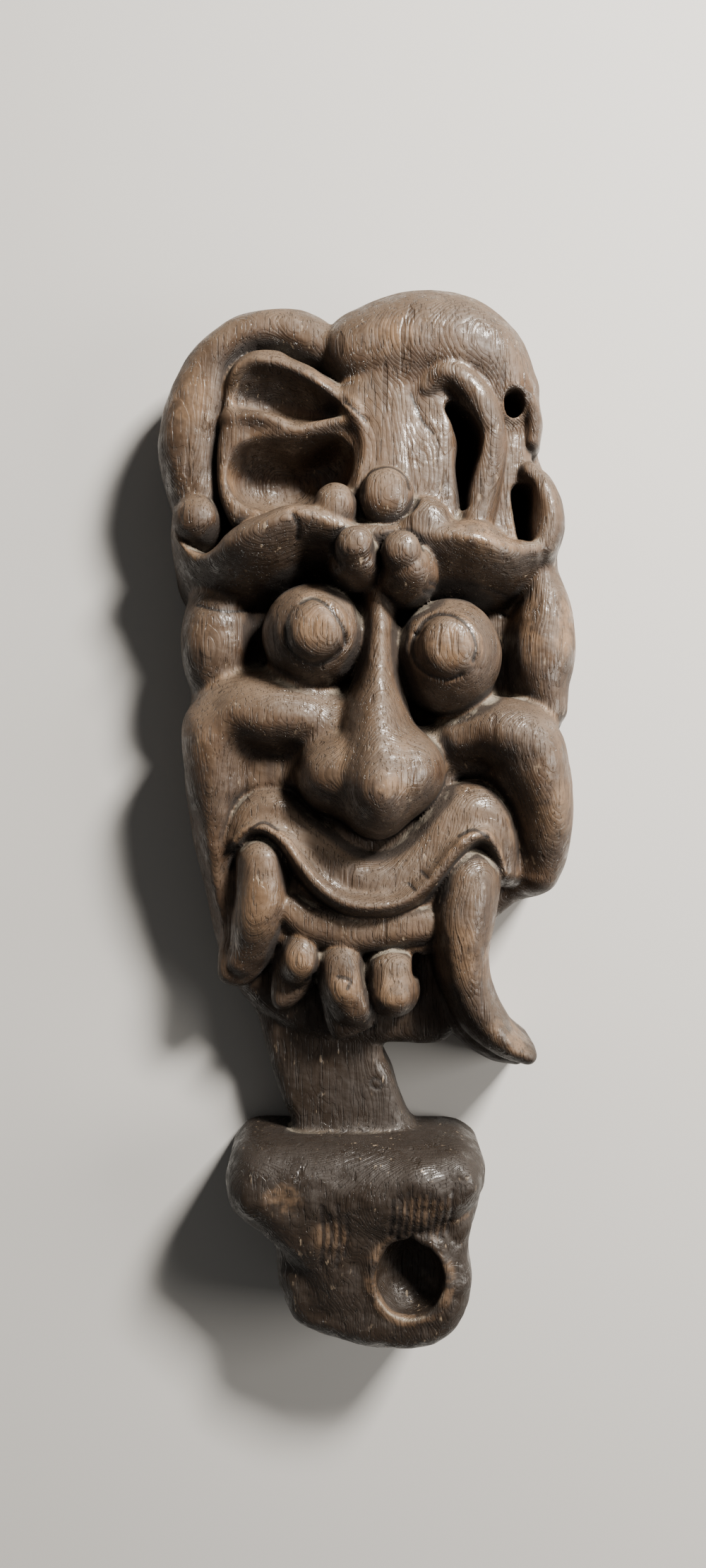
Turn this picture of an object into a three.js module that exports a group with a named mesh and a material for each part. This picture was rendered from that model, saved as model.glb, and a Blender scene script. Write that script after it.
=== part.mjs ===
import * as THREE from 'three';
import { edgeTable, triTable } from 'three/addons/objects/MarchingCubes.js';

// A carved mask cut from one piece of wood: a demon's head with a scooped crest, knobbed brows, round
// eyes, a rolled lip and two fangs, on a neck that runs down into a block with a hollow in its side.
// It lies on its flat back: X runs across the face, Y up it and Z out of it, in millimetres.

// Driving dimensions: heights above the flat back
const NECK_TOP = 30;
const BACKING_TOP = 31;
const JAW_TOP = 32;
const PALATE_TOP = 48;
const PANEL_TOP = 50;
const FOOT_TOP = 55;
const BLOCK_TOP = 56;
const FOREHEAD_TOP = 57;
const BOSS_CREST = 64;
const KNOB_CREST = 70;
const LEFT_EYE_CREST = 72;
const RIGHT_EYE_CREST = 73;
const LEFT_PUPIL_CREST = 75;
const RIGHT_PUPIL_CREST = 76;
const BULB_CREST = 77;
const BALL_CREST = 80;
const NOSE_CREST = 86;
const DEEPEST = 94;

// Driving dimensions: the piece of wood, the rounding of its back edge and the fineness of the surface
const HALF_WIDTH = 96;
const HALF_LENGTH = 232;
const BACK_EDGE = 5;
const GRID_STEP = 2.5;
const CURVE_STEPS = 6;
const REACH = 12;
const MELT = 2;
const TRIANGLES = 9600;

// Small amounts: the thinnest sliver of a cell, the flatness of the back, the steadiness of the thinning
const SLIVER = 0.05;
const FLAT = 1e-4;
const SETTLE = 1e-3;
const EVENNESS = 1e-3;
const STEEPEST_TURN = 0.2;

const plain = { lean: [0, 0], flare: 0, power: 2, cut: false };

// A ridge along a curve of points [x, y, crest height, half width]; a cut one is a trough, to its floor
const ridge = (name, path, options) => ({ kind: 'ridge', name, path, ...plain, ...options });

// A round or oval knob at [x, y, crest height]; a cut one is a hollow, to its floor
const knob = (name, at, options) => ({ kind: 'knob', name, at, ...plain, ...options });

// A block inside a smooth outline of points [x, y], its top tilted, or crowned by [drop, x, half width]
const block = (name, outline, options) => (
  { kind: 'block', name, outline, tilt: [0, 0], crown: [0, 0, 1], ...plain, ...options });

// Head: the slab behind the face, the forehead and the dome of the skull
const head = [
  block('backing', [[-20.5, 202], [-38.5, 212.5], [-58, 207], [-72, 194.5], [-81.5, 173.5],
      [-82.5, 152.5], [-80.5, 115.5], [-75, 96], [-77.5, 78], [-73.5, 52], [-76, 19.5], [-74.5, -5.5],
      [-68.5, -30], [-62, -58], [-52.5, -76.5], [-30.5, -89], [12.5, -95], [37.5, -79.5], [53, -48.5],
      [68.5, -34], [81, -19], [84, 4], [82, 32], [86.5, 72], [78.5, 107.5], [83.5, 124.5], [72, 158.5],
      [73.5, 171], [67, 189.5], [56, 205], [40.5, 214], [12.5, 215.5], [-6, 209]
    ], { top: BACKING_TOP, edge: 9, blend: 0.01 }),
  block('forehead', [[-14.5, 170], [-6, 178.5], [11, 183.5], [28.5, 183.5], [37, 170], [37.5, 147],
      [39.5, 121.5], [37, 101.5], [11, 96], [-14.5, 101.5], [-16.5, 118.5], [-6, 133], [-0.5, 147],
      [-3.5, 161]], { top: FOREHEAD_TOP, edge: 7, crown: [3, 13, 30], blend: 3 }),
  block('right of the forehead', [[35, 190.5], [52, 190.5], [64.5, 181.5], [67.5, 167], [68, 149.5],
      [74, 132], [74.5, 106], [52, 103], [35, 103], [32, 149.5]
    ], { top: 46, edge: 6, tilt: [-0.06, 0], blend: 3 }),
  ridge('dome', [[-1.5, 190, 59, 18.5], [9.5, 192, 61, 24], [21.5, 193, 62, 25], [35.5, 191.5, 62, 25],
      [48, 185.5, 60, 21.5], [55, 174.5, 56, 17]], { height: 30, power: 2.3, blend: 4 }),
];

// Crest on the left: a thick roll round a panel with two scoops
const crest = [
  ridge('left roll', [[-18, 193.5, 49, 10.5], [-25, 197.5, 49, 13], [-34.5, 201, 49, 11.5],
      [-47, 200.5, 49, 10.5], [-55.5, 196.5, 49, 10.5], [-64.5, 187, 48, 12.5], [-69.5, 173, 48, 15],
      [-73, 159.5, 48, 15.5], [-73.5, 146, 47, 14], [-71, 134, 45, 13]
    ], { height: 24, power: 2.5, blend: 1.5 }),
  block('scooped panel', [[-58, 168], [-56, 181.5], [-51.5, 188], [-46, 191], [-37, 191], [-29.5, 187],
      [-21, 182.5], [-7.5, 174], [3, 161.5], [1.5, 144], [-9, 126], [-35, 122], [-52.5, 119],
      [-57.5, 122], [-61.5, 135], [-61.5, 154]
    ], { top: PANEL_TOP, edge: 4, tilt: [0.05, 0], blend: 0.8 }),
  ridge('panel rim', [[-55.5, 162.5, 49, 4], [-55, 171.5, 51, 5], [-52, 180.5, 53, 5.5],
      [-46, 184.5, 54, 5.5], [-36.5, 183.5, 55, 5.5], [-26.5, 178.5, 56, 5.5], [-16, 171, 57, 5],
      [-4.5, 162, 57, 3.5]], { height: 13, blend: 2.5 }),
  ridge('upper scoop', [[-49, 170.5, 42, 7], [-37, 169.5, 39, 9], [-24.5, 166.5, 40, 8],
      [-13.5, 163.5, 45, 4]], { height: 14, blend: 6, cut: true }),
  ridge('lower scoop', [[-44, 139.5, 29, 13.5], [-33.5, 139, 25, 15], [-23, 141, 25, 14.5],
      [-18, 142.5, 28, 12.5]], { height: 24, power: 2.2, blend: 3, cut: true }),
  ridge('rib between scoops', [[-58, 160.5, 47, 4], [-49, 160.5, 51, 5], [-39, 158.5, 52, 5.5],
      [-30, 154.5, 52, 5], [-20, 156, 52, 4.5], [-9.5, 158, 54, 4.5], [-6, 157, 55, 3.5]
    ], { height: 15, lean: [0, 0.2], power: 2.2, blend: 3 }),
  ridge('right side of the panel', [[-6, 166, 56, 5], [-2, 158.5, 56, 5], [-0.5, 147, 56, 5],
      [-4, 132.5, 57, 4]], { height: 14, blend: 4 }),
];

// Brows: two drooping rolls, with the balls and bulbs that sit on them
const brows = [
  ridge('left brow', [[-78.5, 126.5, 44, 4], [-78.5, 112.5, 46, 6], [-72.5, 100.5, 52, 8.5],
      [-62.5, 97.5, 60, 10.5], [-50.5, 100, 68, 14], [-39, 105, 73, 14.5], [-26.5, 109.5, 74, 12.5],
      [-17, 107, 72, 11], [-8.5, 103.5, 70, 10]
    ], { height: 34, lean: [0, 0.3], power: 1.8, blend: 1.5 }),
  ridge('left brow top', [[-55.5, 110.5, 57, 4], [-47.5, 115, 61, 5.5], [-35, 116, 66, 6.5],
      [-22.5, 116.5, 68, 7], [-15.5, 115.5, 68, 7]], { height: 22, blend: 3 }),
  knob('left cup', [-70.5, 120.5, 40], { radii: [11.5, 12], height: 14, blend: 1, cut: true }),
  knob('left ball', [-70.5, 122, 52], { radii: [10.5, 11.5], height: 16, power: 2.4, blend: 0.5 }),
  knob('left knob', [-13, 123.5, KNOB_CREST], { radii: [9, 10], height: 14, power: 2.6, blend: 2.5 }),
  ridge('right brow', [[15, 101.5, 68, 10], [25, 101, 72, 11.5], [36.5, 101, 74, 12],
      [49.5, 98, 72, 11], [62.5, 98, 65, 9], [76, 104, 52, 5.5]
    ], { height: 34, lean: [0, 0.3], power: 1.8, blend: 1.5 }),
  ridge('right brow top', [[33, 112.5, 68, 7], [45.5, 112, 67, 8.5], [56, 106, 64, 7.5],
      [66.5, 107, 58, 7]], { height: 24, blend: 3 }),
  knob('right knob', [22.5, 116, KNOB_CREST], { radii: [11, 12], height: 14, power: 2.5, blend: 3.5 }),
  knob('middle of the brows', [6, 112, 67], { radii: [17, 8.5], height: 18, blend: 4 }),
  knob('hood', [8.5, 131, 58], { radii: [13.5, 14.5], height: 9, blend: 1, cut: true }),
  knob('middle ball', [7.5, 128, 70], { radii: [11, 12.5], height: 12, power: 2.7, blend: 0.8 }),
  knob('left bulb', [-4, 101.5, BULB_CREST], { radii: [12, 12], height: 30, power: 2.3, blend: 0.8 }),
  knob('right bulb', [16, 98, BULB_CREST], { radii: [13.5, 14], height: 30, power: 2.3, blend: 0.8 }),
  knob('left inner ball', [-5.5, 106, BALL_CREST
    ], { radii: [8, 8.5], height: 11, power: 2.6, blend: 0.5 }),
  knob('right inner ball', [13, 104, BALL_CREST
    ], { radii: [8.5, 9], height: 11, power: 2.6, blend: 0.5 }),
];

// Locks on the right: a looped strand and a hooked ridge, with deep pockets between them
const locks = [
  ridge('hooked ridge', [[50.5, 174.5, 53, 4], [53.5, 179, 55, 4.5], [59, 181, 55, 5],
      [63.5, 177.5, 53, 5], [66.5, 170.5, 51, 5], [68.5, 162, 49, 5], [68, 154, 47, 4.5]
    ], { height: 18, power: 2.3, blend: 1.5 }),
  ridge('outer curl', [[66, 141.5, 50, 5], [70.5, 136.5, 53, 7], [73.5, 128.5, 55, 8],
      [74, 118.5, 56, 8.5], [71.5, 109.5, 56, 7.5]], { height: 24, power: 2.3, blend: 1.5 }),
  ridge('strand', [[23.5, 172.5, 58, 5], [28, 177, 61, 7], [34, 178, 62, 7.5], [41.5, 172, 62, 7.5],
      [47, 163, 62, 7.5], [49.5, 153, 61, 7.5], [48, 141.5, 60, 8], [45.5, 129, 59, 8],
      [43.5, 120, 59, 8]], { height: 15, power: 2.4, blend: 1.2 }),
  ridge('long pocket', [[34, 165, 34, 2], [38, 159.5, 26, 3.5], [41, 151.5, 22, 4], [39.5, 141, 22, 3],
      [39, 130.5, 30, 1.5], [39, 125, 42, 1]], { height: 8, flare: 0.04, blend: 1, cut: true }),
  knob('round pocket', [59.5, 168, 28], { radii: [4.5, 5], height: 8, blend: 1, cut: true }),
  ridge('outer pocket', [[63.5, 132.5, 12, 4.5], [64, 124, 12, 4], [65, 113.5, 22, 2.5]
    ], { height: 8, blend: 1, cut: true }),
];

// Face: eyes with raised pupils, temples, nose and cheeks
const face = [
  knob('left eye', [-21.5, 74, LEFT_EYE_CREST
    ], { radii: [22, 22], height: 34, power: 2.3, blend: 0.8 }),
  knob('left pupil', [-20, 74, LEFT_PUPIL_CREST
    ], { radii: [12.5, 13], height: 9, power: 2.6, blend: 0.8 }),
  knob('right eye', [33.5, 65.5, RIGHT_EYE_CREST
    ], { radii: [22, 24], height: 34, power: 2.3, blend: 0.8 }),
  knob('right pupil', [32.5, 67, RIGHT_PUPIL_CREST
    ], { radii: [12.5, 13], height: 9, power: 2.6, blend: 0.8 }),
  knob('left temple', [-63, 72.5, 47], { radii: [15.5, 27.5], height: 20, power: 2.3, blend: 6 }),
  ridge('right temple', [[72, 103, 46, 7], [74, 88, 50, 12], [73.5, 69, 52, 14.5], [73, 55, 51, 13],
      [76.5, 43.5, 47, 7]], { height: 20, power: 2.2, blend: 4 }),
  ridge('nose bridge', [[2.5, 95, 60, 7], [4.5, 80.5, 64, 9], [4.5, 66, 67, 9.5], [4, 53.5, 71, 11],
      [3.5, 40.5, 76, 15], [4, 29.5, 80, 17]], { height: 34, blend: 3 }),
  knob('left nostril', [-14, 17, 73], { radii: [16, 17], height: 34, power: 2.3, blend: 8 }),
  knob('right nostril', [16.5, 18, 79], { radii: [15.5, 17], height: 38, power: 2.3, blend: 8 }),
  knob('nose tip', [4, 12.5, NOSE_CREST], { radii: [17.5, 22.5], height: 46, power: 2.3, blend: 8 }),
  block('left cheek hollow', [[-67.5, 45.5], [-14.5, 48.5], [-26.5, 13], [-56, 7.5], [-70.5, 7.5]
    ], { top: 47, edge: 6, blend: 8 }),
  ridge('left cheek', [[-63.5, 35, 54, 12.5], [-54, 42.5, 60, 16], [-41, 44, 63, 17],
      [-27, 42.5, 62, 15.5], [-16.5, 40.5, 58, 12.5]
    ], { height: 26, lean: [0, -0.15], power: 2.1, blend: 7 }),
  ridge('left jaw line', [[-63.5, 35, 54, 11.5], [-63, 19, 55, 12.5], [-62.5, 2, 52, 11],
      [-62.5, -13, 48, 8.5], [-61.5, -30.5, 44, 5.5], [-58, -51.5, 40, 4]
    ], { height: 24, power: 2.1, blend: 8 }),
  block('right cheek hollow', [[23.5, 36.5], [64.5, 28], [70.5, -13], [58.5, -25], [53, 10.5],
      [29.5, 19]], { top: 44, edge: 4, blend: 5 }),
  ridge('right cheek', [[37, 32, 52, 10.5], [49.5, 34, 62, 15.5], [61.5, 29, 66, 18], [67, 16, 64, 17],
      [70.5, 2, 60, 14.5], [70.5, -14, 54, 13.5], [68.5, -24, 47, 11]
    ], { height: 28, lean: [0.12, 0], power: 2.1, blend: 5 }),
];

// Mouth: rolled lip, gum, three teeth and two fangs
const mouth = [
  block('groove above the lip', [[-35, 19], [-29, -1.5], [-6, -19.5], [17.5, -16.5], [35, 10.5],
      [35, 22]], { top: 43, edge: 3, blend: 1 }),
  ridge('lip', [[-59.5, -28.5, 42, 4.5], [-58, -16, 46, 6.5], [-53, -6, 50, 8.5],
      [-45.5, 0.5, 53, 11.5], [-36, 0.5, 54, 12.5], [-26.5, -9.5, 55, 12.5], [-15, -21, 56, 12.5],
      [0, -28, 57, 13.5], [14, -26, 57, 13.5], [26.5, -16, 56, 13.5], [35.5, -4, 56, 15],
      [45.5, -0.5, 56, 15.5], [53.5, -9.5, 53, 11.5], [58.5, -24, 48, 6.5]
    ], { height: 24, power: 2.4, blend: 1.2 }),
  ridge('lip rim', [[-53.5, -10.5, 52, 3.5], [-48.5, -5.5, 55, 4.5], [-41, -5, 58, 5],
      [-33.5, -10, 60, 5.5], [-26, -20.5, 61, 6], [-17.5, -29.5, 62, 6], [-7.5, -35, 63, 6.5],
      [4, -36, 63, 6.5], [15, -33.5, 62, 6.5], [25, -26, 62, 6], [33, -16.5, 62, 5.5],
      [39.5, -9.5, 62, 5.5], [47, -7.5, 60, 5], [52.5, -14, 56, 4.5], [56, -24, 50, 3]
    ], { height: 24, blend: 4 }),
  block('jaw', [[-36, -43.5], [24, -43.5], [36, -73.5], [34.5, -95.5], [12, -97], [-24, -94.5],
      [-50.5, -76.5], [-56.5, -52.5]], { top: JAW_TOP, edge: 6, blend: 5 }),
  block('palate', [[-37, -23.5], [-14.5, -33], [11.5, -36], [29.5, -27.5], [35, -42], [26.5, -57],
      [0, -57], [-26, -53.5], [-40.5, -50.5]
    ], { top: PALATE_TOP, edge: 4, tilt: [0.02, 0.06], blend: 3 }),
  ridge('gum', [[-32, -38, 52, 7], [-26, -42.5, 53, 8], [-17.5, -45.5, 54, 9], [-6, -47.5, 54, 9],
      [8.5, -46, 54, 9], [19.5, -44.5, 54, 8.5], [23, -44.5, 53, 8]
    ], { height: 10, power: 2.6, blend: 1.5 }),
  block('left tooth back', [[-36.5, -53], [-21.5, -53], [-21, -68.5], [-30, -79], [-38, -80.5],
      [-40, -72]], { top: 44, edge: 5, blend: 0.6 }),
  knob('left tooth', [-27.5, -58.5, 55], { radii: [9, 12], height: 18, power: 2.5, blend: 3 }),
  block('middle tooth back', [[-19.5, -56], [-4, -57], [2.5, -83.5], [-1, -90], [-13.5, -93.5],
      [-20, -72]], { top: 44, edge: 5, blend: 0.6 }),
  ridge('middle tooth', [[-11, -60, 56, 9.5], [-9.5, -70.5, 58, 10.5], [-5.5, -78, 54, 9]
    ], { height: 20, power: 2.4, blend: 2.5 }),
  ridge('right tooth', [[10, -63.5, 56, 11], [10.5, -72, 59, 12]
    ], { height: 24, power: 2.5, blend: 0.6 }),
  knob('slot beside the teeth', [20.5, -62, 32], { radii: [2.5, 5.5], height: 8, blend: 1, cut: true }),
  block('left fang back', [[-59.5, -22.5], [-35.5, -25], [-36, -49], [-42, -63], [-51.5, -71],
      [-61, -69], [-62, -58], [-59.5, -46]], { top: 44, edge: 6, blend: 3 }),
  ridge('left fang', [[-43, -18.5, 58, 12], [-43, -32, 60, 12], [-45, -44, 58, 11.5],
      [-48, -54, 53, 10.5], [-52, -61, 47, 8.5]], { height: 26, power: 2.4, blend: 1.2 }),
  ridge('right fang side', [[32, -43, 38, 9], [33, -63.5, 36, 8.5], [38.5, -85, 34, 7.5],
      [54, -100, 32, 6.5], [64, -103, 32, 5]], { height: 20, blend: 3 }),
  ridge('right fang', [[44, -24.5, 62, 12], [41.5, -41.5, 63, 12], [40, -56.5, 61, 11.5],
      [41.5, -70.5, 58, 11], [48.5, -84.5, 55, 10], [58, -94.5, 52, 7.5], [66.5, -99.5, 49, 4.5]
    ], { height: 28, power: 2.4, blend: 1 }),
];

// Neck and block, with a hollowed boss on the block
const base = [
  block('neck', [[-52.5, -71], [-47, -86.5], [-41.5, -106.5], [-36, -122.5], [-31, -134.5],
      [-30, -152.5], [20, -152.5], [20, -136.5], [15.5, -124.5], [11.5, -112], [7.5, -98.5],
      [24.5, -86.5], [12, -71]], { top: NECK_TOP, edge: 6, crown: [3, -11, 30], blend: 1.5 }),
  block('block top', [[-48.5, -136], [-54.5, -139.5], [-58, -149.5], [-56, -160], [-50, -166.5],
      [-41, -171], [-23.5, -173.5], [3, -179], [20.5, -176.5], [33.5, -173], [42.5, -167], [47.5, -157],
      [48, -144.5], [43.5, -140], [23.5, -137], [-29.5, -136.5]
    ], { top: BLOCK_TOP, edge: 8, crown: [6, -7, 50], blend: 0.01 }),
  block('block face', [[-49.5, -140.5], [-34.5, -137], [22.5, -137.5], [41, -140.5], [42.5, -154.5],
      [35, -163], [20, -169.5], [2.5, -171.5], [-23, -165.5], [-40, -162.5], [-49.5, -157]
    ], { top: 60, edge: 9, tilt: [0.05, -0.04], blend: 8 }),
  ridge('block crest', [[-23, -150, 61, 7.5], [-6, -152, 65, 10], [11, -152, 67, 11.5],
      [25, -149.5, 67, 11], [35.5, -146.5, 64, 8]], { height: 8, blend: 8 }),
  ridge('worn lump below the block', [[-45, -151.5, 58, 9], [-30.5, -160.5, 61, 13.5],
      [-18.5, -172.5, 60, 14.5], [-11, -190, 57, 12.5]], { height: 8, blend: 10 }),
  block('block foot', [[-42, -164.5], [-37.5, -179], [-36, -196.5], [-33, -204], [-26, -210.5],
      [-11.5, -214.5], [3, -217.5], [20.5, -217.5], [31.5, -213.5], [38, -206.5], [42, -192],
      [41, -176.5], [36.5, -158.5], [-35, -158.5]
    ], { top: FOOT_TOP, edge: 9, tilt: [0.1, 0], blend: 4 }),
  knob('boss round the hollow', [18, -184, BOSS_CREST
    ], { radii: [20.5, 22], height: 24, power: 2.5, blend: 5 }),
  knob('hollow in the boss', [16.5, -186, 42
    ], { radii: [14, 16], height: 17, lean: [0.12, -0.15], power: 2.4, blend: 3, cut: true }),
];

const forms = [...head, ...crest, ...brows, ...locks, ...face, ...mouth, ...base];


// Field of the carving: how far each grid point lies outside the wood, negative inside it
const low = [-HALF_WIDTH, -HALF_LENGTH, -1.5 * GRID_STEP];
const size = [2 * HALF_WIDTH, 2 * HALF_LENGTH, DEEPEST + 2 * GRID_STEP];
const [nx, ny, nz] = size.map((length) => Math.ceil(length / GRID_STEP) + 1);
const field = new Float32Array(nx * ny * nz).fill(1e3);
const cell = (i, j, k) => (i * ny + j) * nz + k;
const place = (axis, index) => low[axis] + index * GRID_STEP;

function softMin(a, b, blend) {
  const overlap = Math.max(blend - Math.abs(a - b), 0) / blend;
  return Math.min(a, b) - overlap * overlap * blend * 0.25;
}

function curveThrough(points, closed) {
  const count = points.length;
  const curve = [];
  const at = (i) => {
    if (closed) return points[(i + count) % count];
    if (i < 0) return points[0].map((v, c) => 2 * v - points[1][c]);
    if (i >= count) return points[count - 1].map((v, c) => 2 * v - points[count - 2][c]);
    return points[i];
  };
  for (let i = 0; i < (closed ? count : count - 1); i += 1) {
    const [a, b, c, d] = [at(i - 1), at(i), at(i + 1), at(i + 2)];
    for (let step = 0; step < CURVE_STEPS; step += 1) {
      const t = step / CURVE_STEPS;
      curve.push(b.map((v, n) => 0.5 * (2 * v + (c[n] - a[n]) * t
        + (2 * a[n] - 5 * v + 4 * c[n] - d[n]) * t * t + (3 * v - 3 * c[n] + d[n] - a[n]) * t ** 3)));
    }
  }
  if (!closed) curve.push(points[count - 1]);
  return curve;
}

// Visits each column of the grid near a form, and joins or cuts the depth that the form gives there
function shapeColumns(curve, reach, form, depthsAt) {
  const range = (axis, count) => {
    const values = curve.map((point) => point[axis]);
    return [Math.max(0, Math.floor((Math.min(...values) - reach - low[axis]) / GRID_STEP)),
      Math.min(count, Math.ceil((Math.max(...values) + reach - low[axis]) / GRID_STEP) + 1)];
  };
  const [i0, i1] = range(0, nx);
  const [j0, j1] = range(1, ny);
  for (let i = i0; i < i1; i += 1) {
    for (let j = j0; j < j1; j += 1) {
      const depth = depthsAt(place(0, i), place(1, j));
      for (let k = 0; k < nz; k += 1) {
        const n = cell(i, j, k);
        const d = depth(place(2, k));
        field[n] = form.cut ? -softMin(-field[n], d, form.blend) : softMin(field[n], d, form.blend);
      }
    }
  }
}

// Section of a ridge or a knob: round over the top, upright below, and leaning with its height
function section(form, across, along, radiusX, radiusY, crest, lean) {
  const { height, power, flare } = form;
  const up = form.cut ? -1 : 1;
  const middle = crest - up * height;
  return (z) => {
    const rise = up * (z - middle);
    const leant = Math.min(Math.max(rise, -height), height);
    const spread = flare * Math.max(-rise, 0);
    const rx = radiusX + spread;
    const ry = radiusY + spread;
    const qx = (across - lean[0] * leant) / rx;
    const qy = (along - lean[1] * leant) / ry;
    const rho = Math.hypot(qx, qy) + 1e-6;
    const slope = Math.hypot(qx / rx, qy / ry) / rho + 1e-6;
    const qz = Math.max(rise, 0) / height;
    const k = (rho ** power + qz ** power) ** (1 / power);
    return (k - 1) / Math.hypot((rho / k) ** (power - 1) * slope, (qz / k) ** (power - 1) / height);
  };
}

const shapers = {
  // A ridge along a curve of points [x, y, crest height, half width]
  ridge(form) {
    const curve = curveThrough(form.path, false);
    const widest = Math.max(...curve.map((point) => point[3]));
    const leanLength = Math.abs(form.lean[0]) + Math.abs(form.lean[1]);
    shapeColumns(curve, widest + REACH + leanLength * form.height, form, (x, y) => {
      const near = curve.slice(1).map((b, n) => {
        const a = curve[n];
        const [ex, ey] = [b[0] - a[0], b[1] - a[1]];
        const length = Math.max(Math.hypot(ex, ey), 1e-6);
        const t = Math.min(Math.max(((x - a[0]) * ex + (y - a[1]) * ey) / length ** 2, 0), 1);
        const [dx, dy] = [x - a[0] - t * ex, y - a[1] - t * ey];
        const radius = a[3] + t * (b[3] - a[3]);
        const crest = a[2] + t * (b[2] - a[2]);
        const distance = Math.hypot(dx, dy);
        return { distance, dx, dy, radius, crest, tx: ex / length, ty: ey / length };
      });
      const best = near.reduce((a, b) => (b.distance < a.distance ? b : a));
      const mean = { crest: 0, radius: 0, tx: 0, ty: 0 };
      let total = 0;
      for (const part of near) {
        const weight = Math.exp((best.distance - part.distance) / MELT);
        total += weight;
        for (const key of Object.keys(mean)) mean[key] += weight * part[key];
      }
      for (const key of Object.keys(mean)) mean[key] /= total;
      const { distance } = best;
      const side = (best.dy * mean.tx - best.dx * mean.ty) / (Math.hypot(mean.tx, mean.ty) + 0.05);
      const across = Math.min(Math.max(side, -distance), distance);
      const along = Math.sqrt(Math.max(distance ** 2 - across ** 2, 0));
      const lean = [form.lean[1] * mean.tx - form.lean[0] * mean.ty, 0];
      return section(form, across, along, mean.radius, mean.radius, mean.crest, lean);
    });
  },
  // A round or oval knob at a point [x, y, crest height]
  knob(form) {
    const [cx, cy, crest] = form.at;
    const [rx, ry] = form.radii;
    shapeColumns([form.at], Math.max(rx, ry) + REACH, form,
      (x, y) => section(form, x - cx, y - cy, rx, ry, crest, form.lean));
  },
  // A flat-topped block with a rounded edge, its top tilted or crowned
  block(form) {
    const curve = curveThrough(form.outline, true);
    const count = curve.length;
    const middle = [0, 1].map((axis) => curve.reduce((sum, point) => sum + point[axis], 0) / count);
    shapeColumns(curve, REACH, form, (x, y) => {
      let inside = false;
      let distance = Infinity;
      curve.forEach((b, n) => {
        const a = curve[(n + count - 1) % count];
        const [ex, ey] = [b[0] - a[0], b[1] - a[1]];
        const t = ((x - a[0]) * ex + (y - a[1]) * ey) / Math.max(ex * ex + ey * ey, 1e-9);
        const s = Math.min(Math.max(t, 0), 1);
        distance = Math.min(distance, Math.hypot(x - a[0] - s * ex, y - a[1] - s * ey));
        if ((a[1] > y) !== (b[1] > y) && x < a[0] + ((y - a[1]) / ey) * ex) inside = !inside;
      });
      const top = form.top + form.tilt[0] * (x - middle[0]) + form.tilt[1] * (y - middle[1])
        - form.crown[0] * ((x - form.crown[1]) / form.crown[2]) ** 2;
      const a = (inside ? -distance : distance) + form.edge;
      return (z) => {
        const b = z - top + form.edge;
        return Math.min(Math.max(a, b), 0) + Math.hypot(Math.max(a, 0), Math.max(b, 0)) - form.edge;
      };
    });
  },
};

for (const form of forms) shapers[form.kind](form);
for (let n = 0; n < field.length; n += 1) {
  const z = place(2, n % nz);
  const d = -softMin(-field[n], z, BACK_EDGE);
  field[n] = Math.abs(d) < SLIVER ? SLIVER * Math.sign(d || 1) : d;
}

// Skin of the field: one vertex on each grid edge that crosses it, joined by the table of cases
const corners = [[0, 0, 0], [1, 0, 0], [1, 1, 0], [0, 1, 0], [0, 0, 1], [1, 0, 1], [1, 1, 1], [0, 1, 1]];
const edges = [
  [0, 1], [1, 2], [3, 2], [0, 3], [4, 5], [5, 6], [7, 6], [4, 7], [0, 4], [1, 5], [2, 6], [3, 7],
];

function skinOfField() {
  const points = [];
  const faces = [];
  const vertexOn = new Map();
  for (let i = 0; i < nx - 1; i += 1) {
    for (let j = 0; j < ny - 1; j += 1) {
      for (let k = 0; k < nz - 1; k += 1) {
        const at = corners.map(([a, b, c]) => [i + a, j + b, k + c]);
        const values = at.map(([a, b, c]) => field[cell(a, b, c)]);
        const kind = values.reduce((bits, value, n) => bits | (value > 0 ? 1 << n : 0), 0);
        if (edgeTable[kind] === 0) continue;
        const vertex = (n) => {
          const [from, to] = edges[n];
          const along = [0, 1, 2].findIndex((axis) => at[from][axis] !== at[to][axis]);
          const key = cell(...at[from]) * 3 + along;
          if (!vertexOn.has(key)) {
            const t = values[from] / (values[from] - values[to]);
            vertexOn.set(key, points.length);
            points.push(at[from].map((index, axis) => place(axis, index + t * (at[to][axis] - index))));
          }
          return vertexOn.get(key);
        };
        for (let n = kind * 16; triTable[n] !== -1; n += 3) {
          faces.push([vertex(triTable[n]), vertex(triTable[n + 1]), vertex(triTable[n + 2])]);
        }
      }
    }
  }
  return { points, faces };
}

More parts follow.
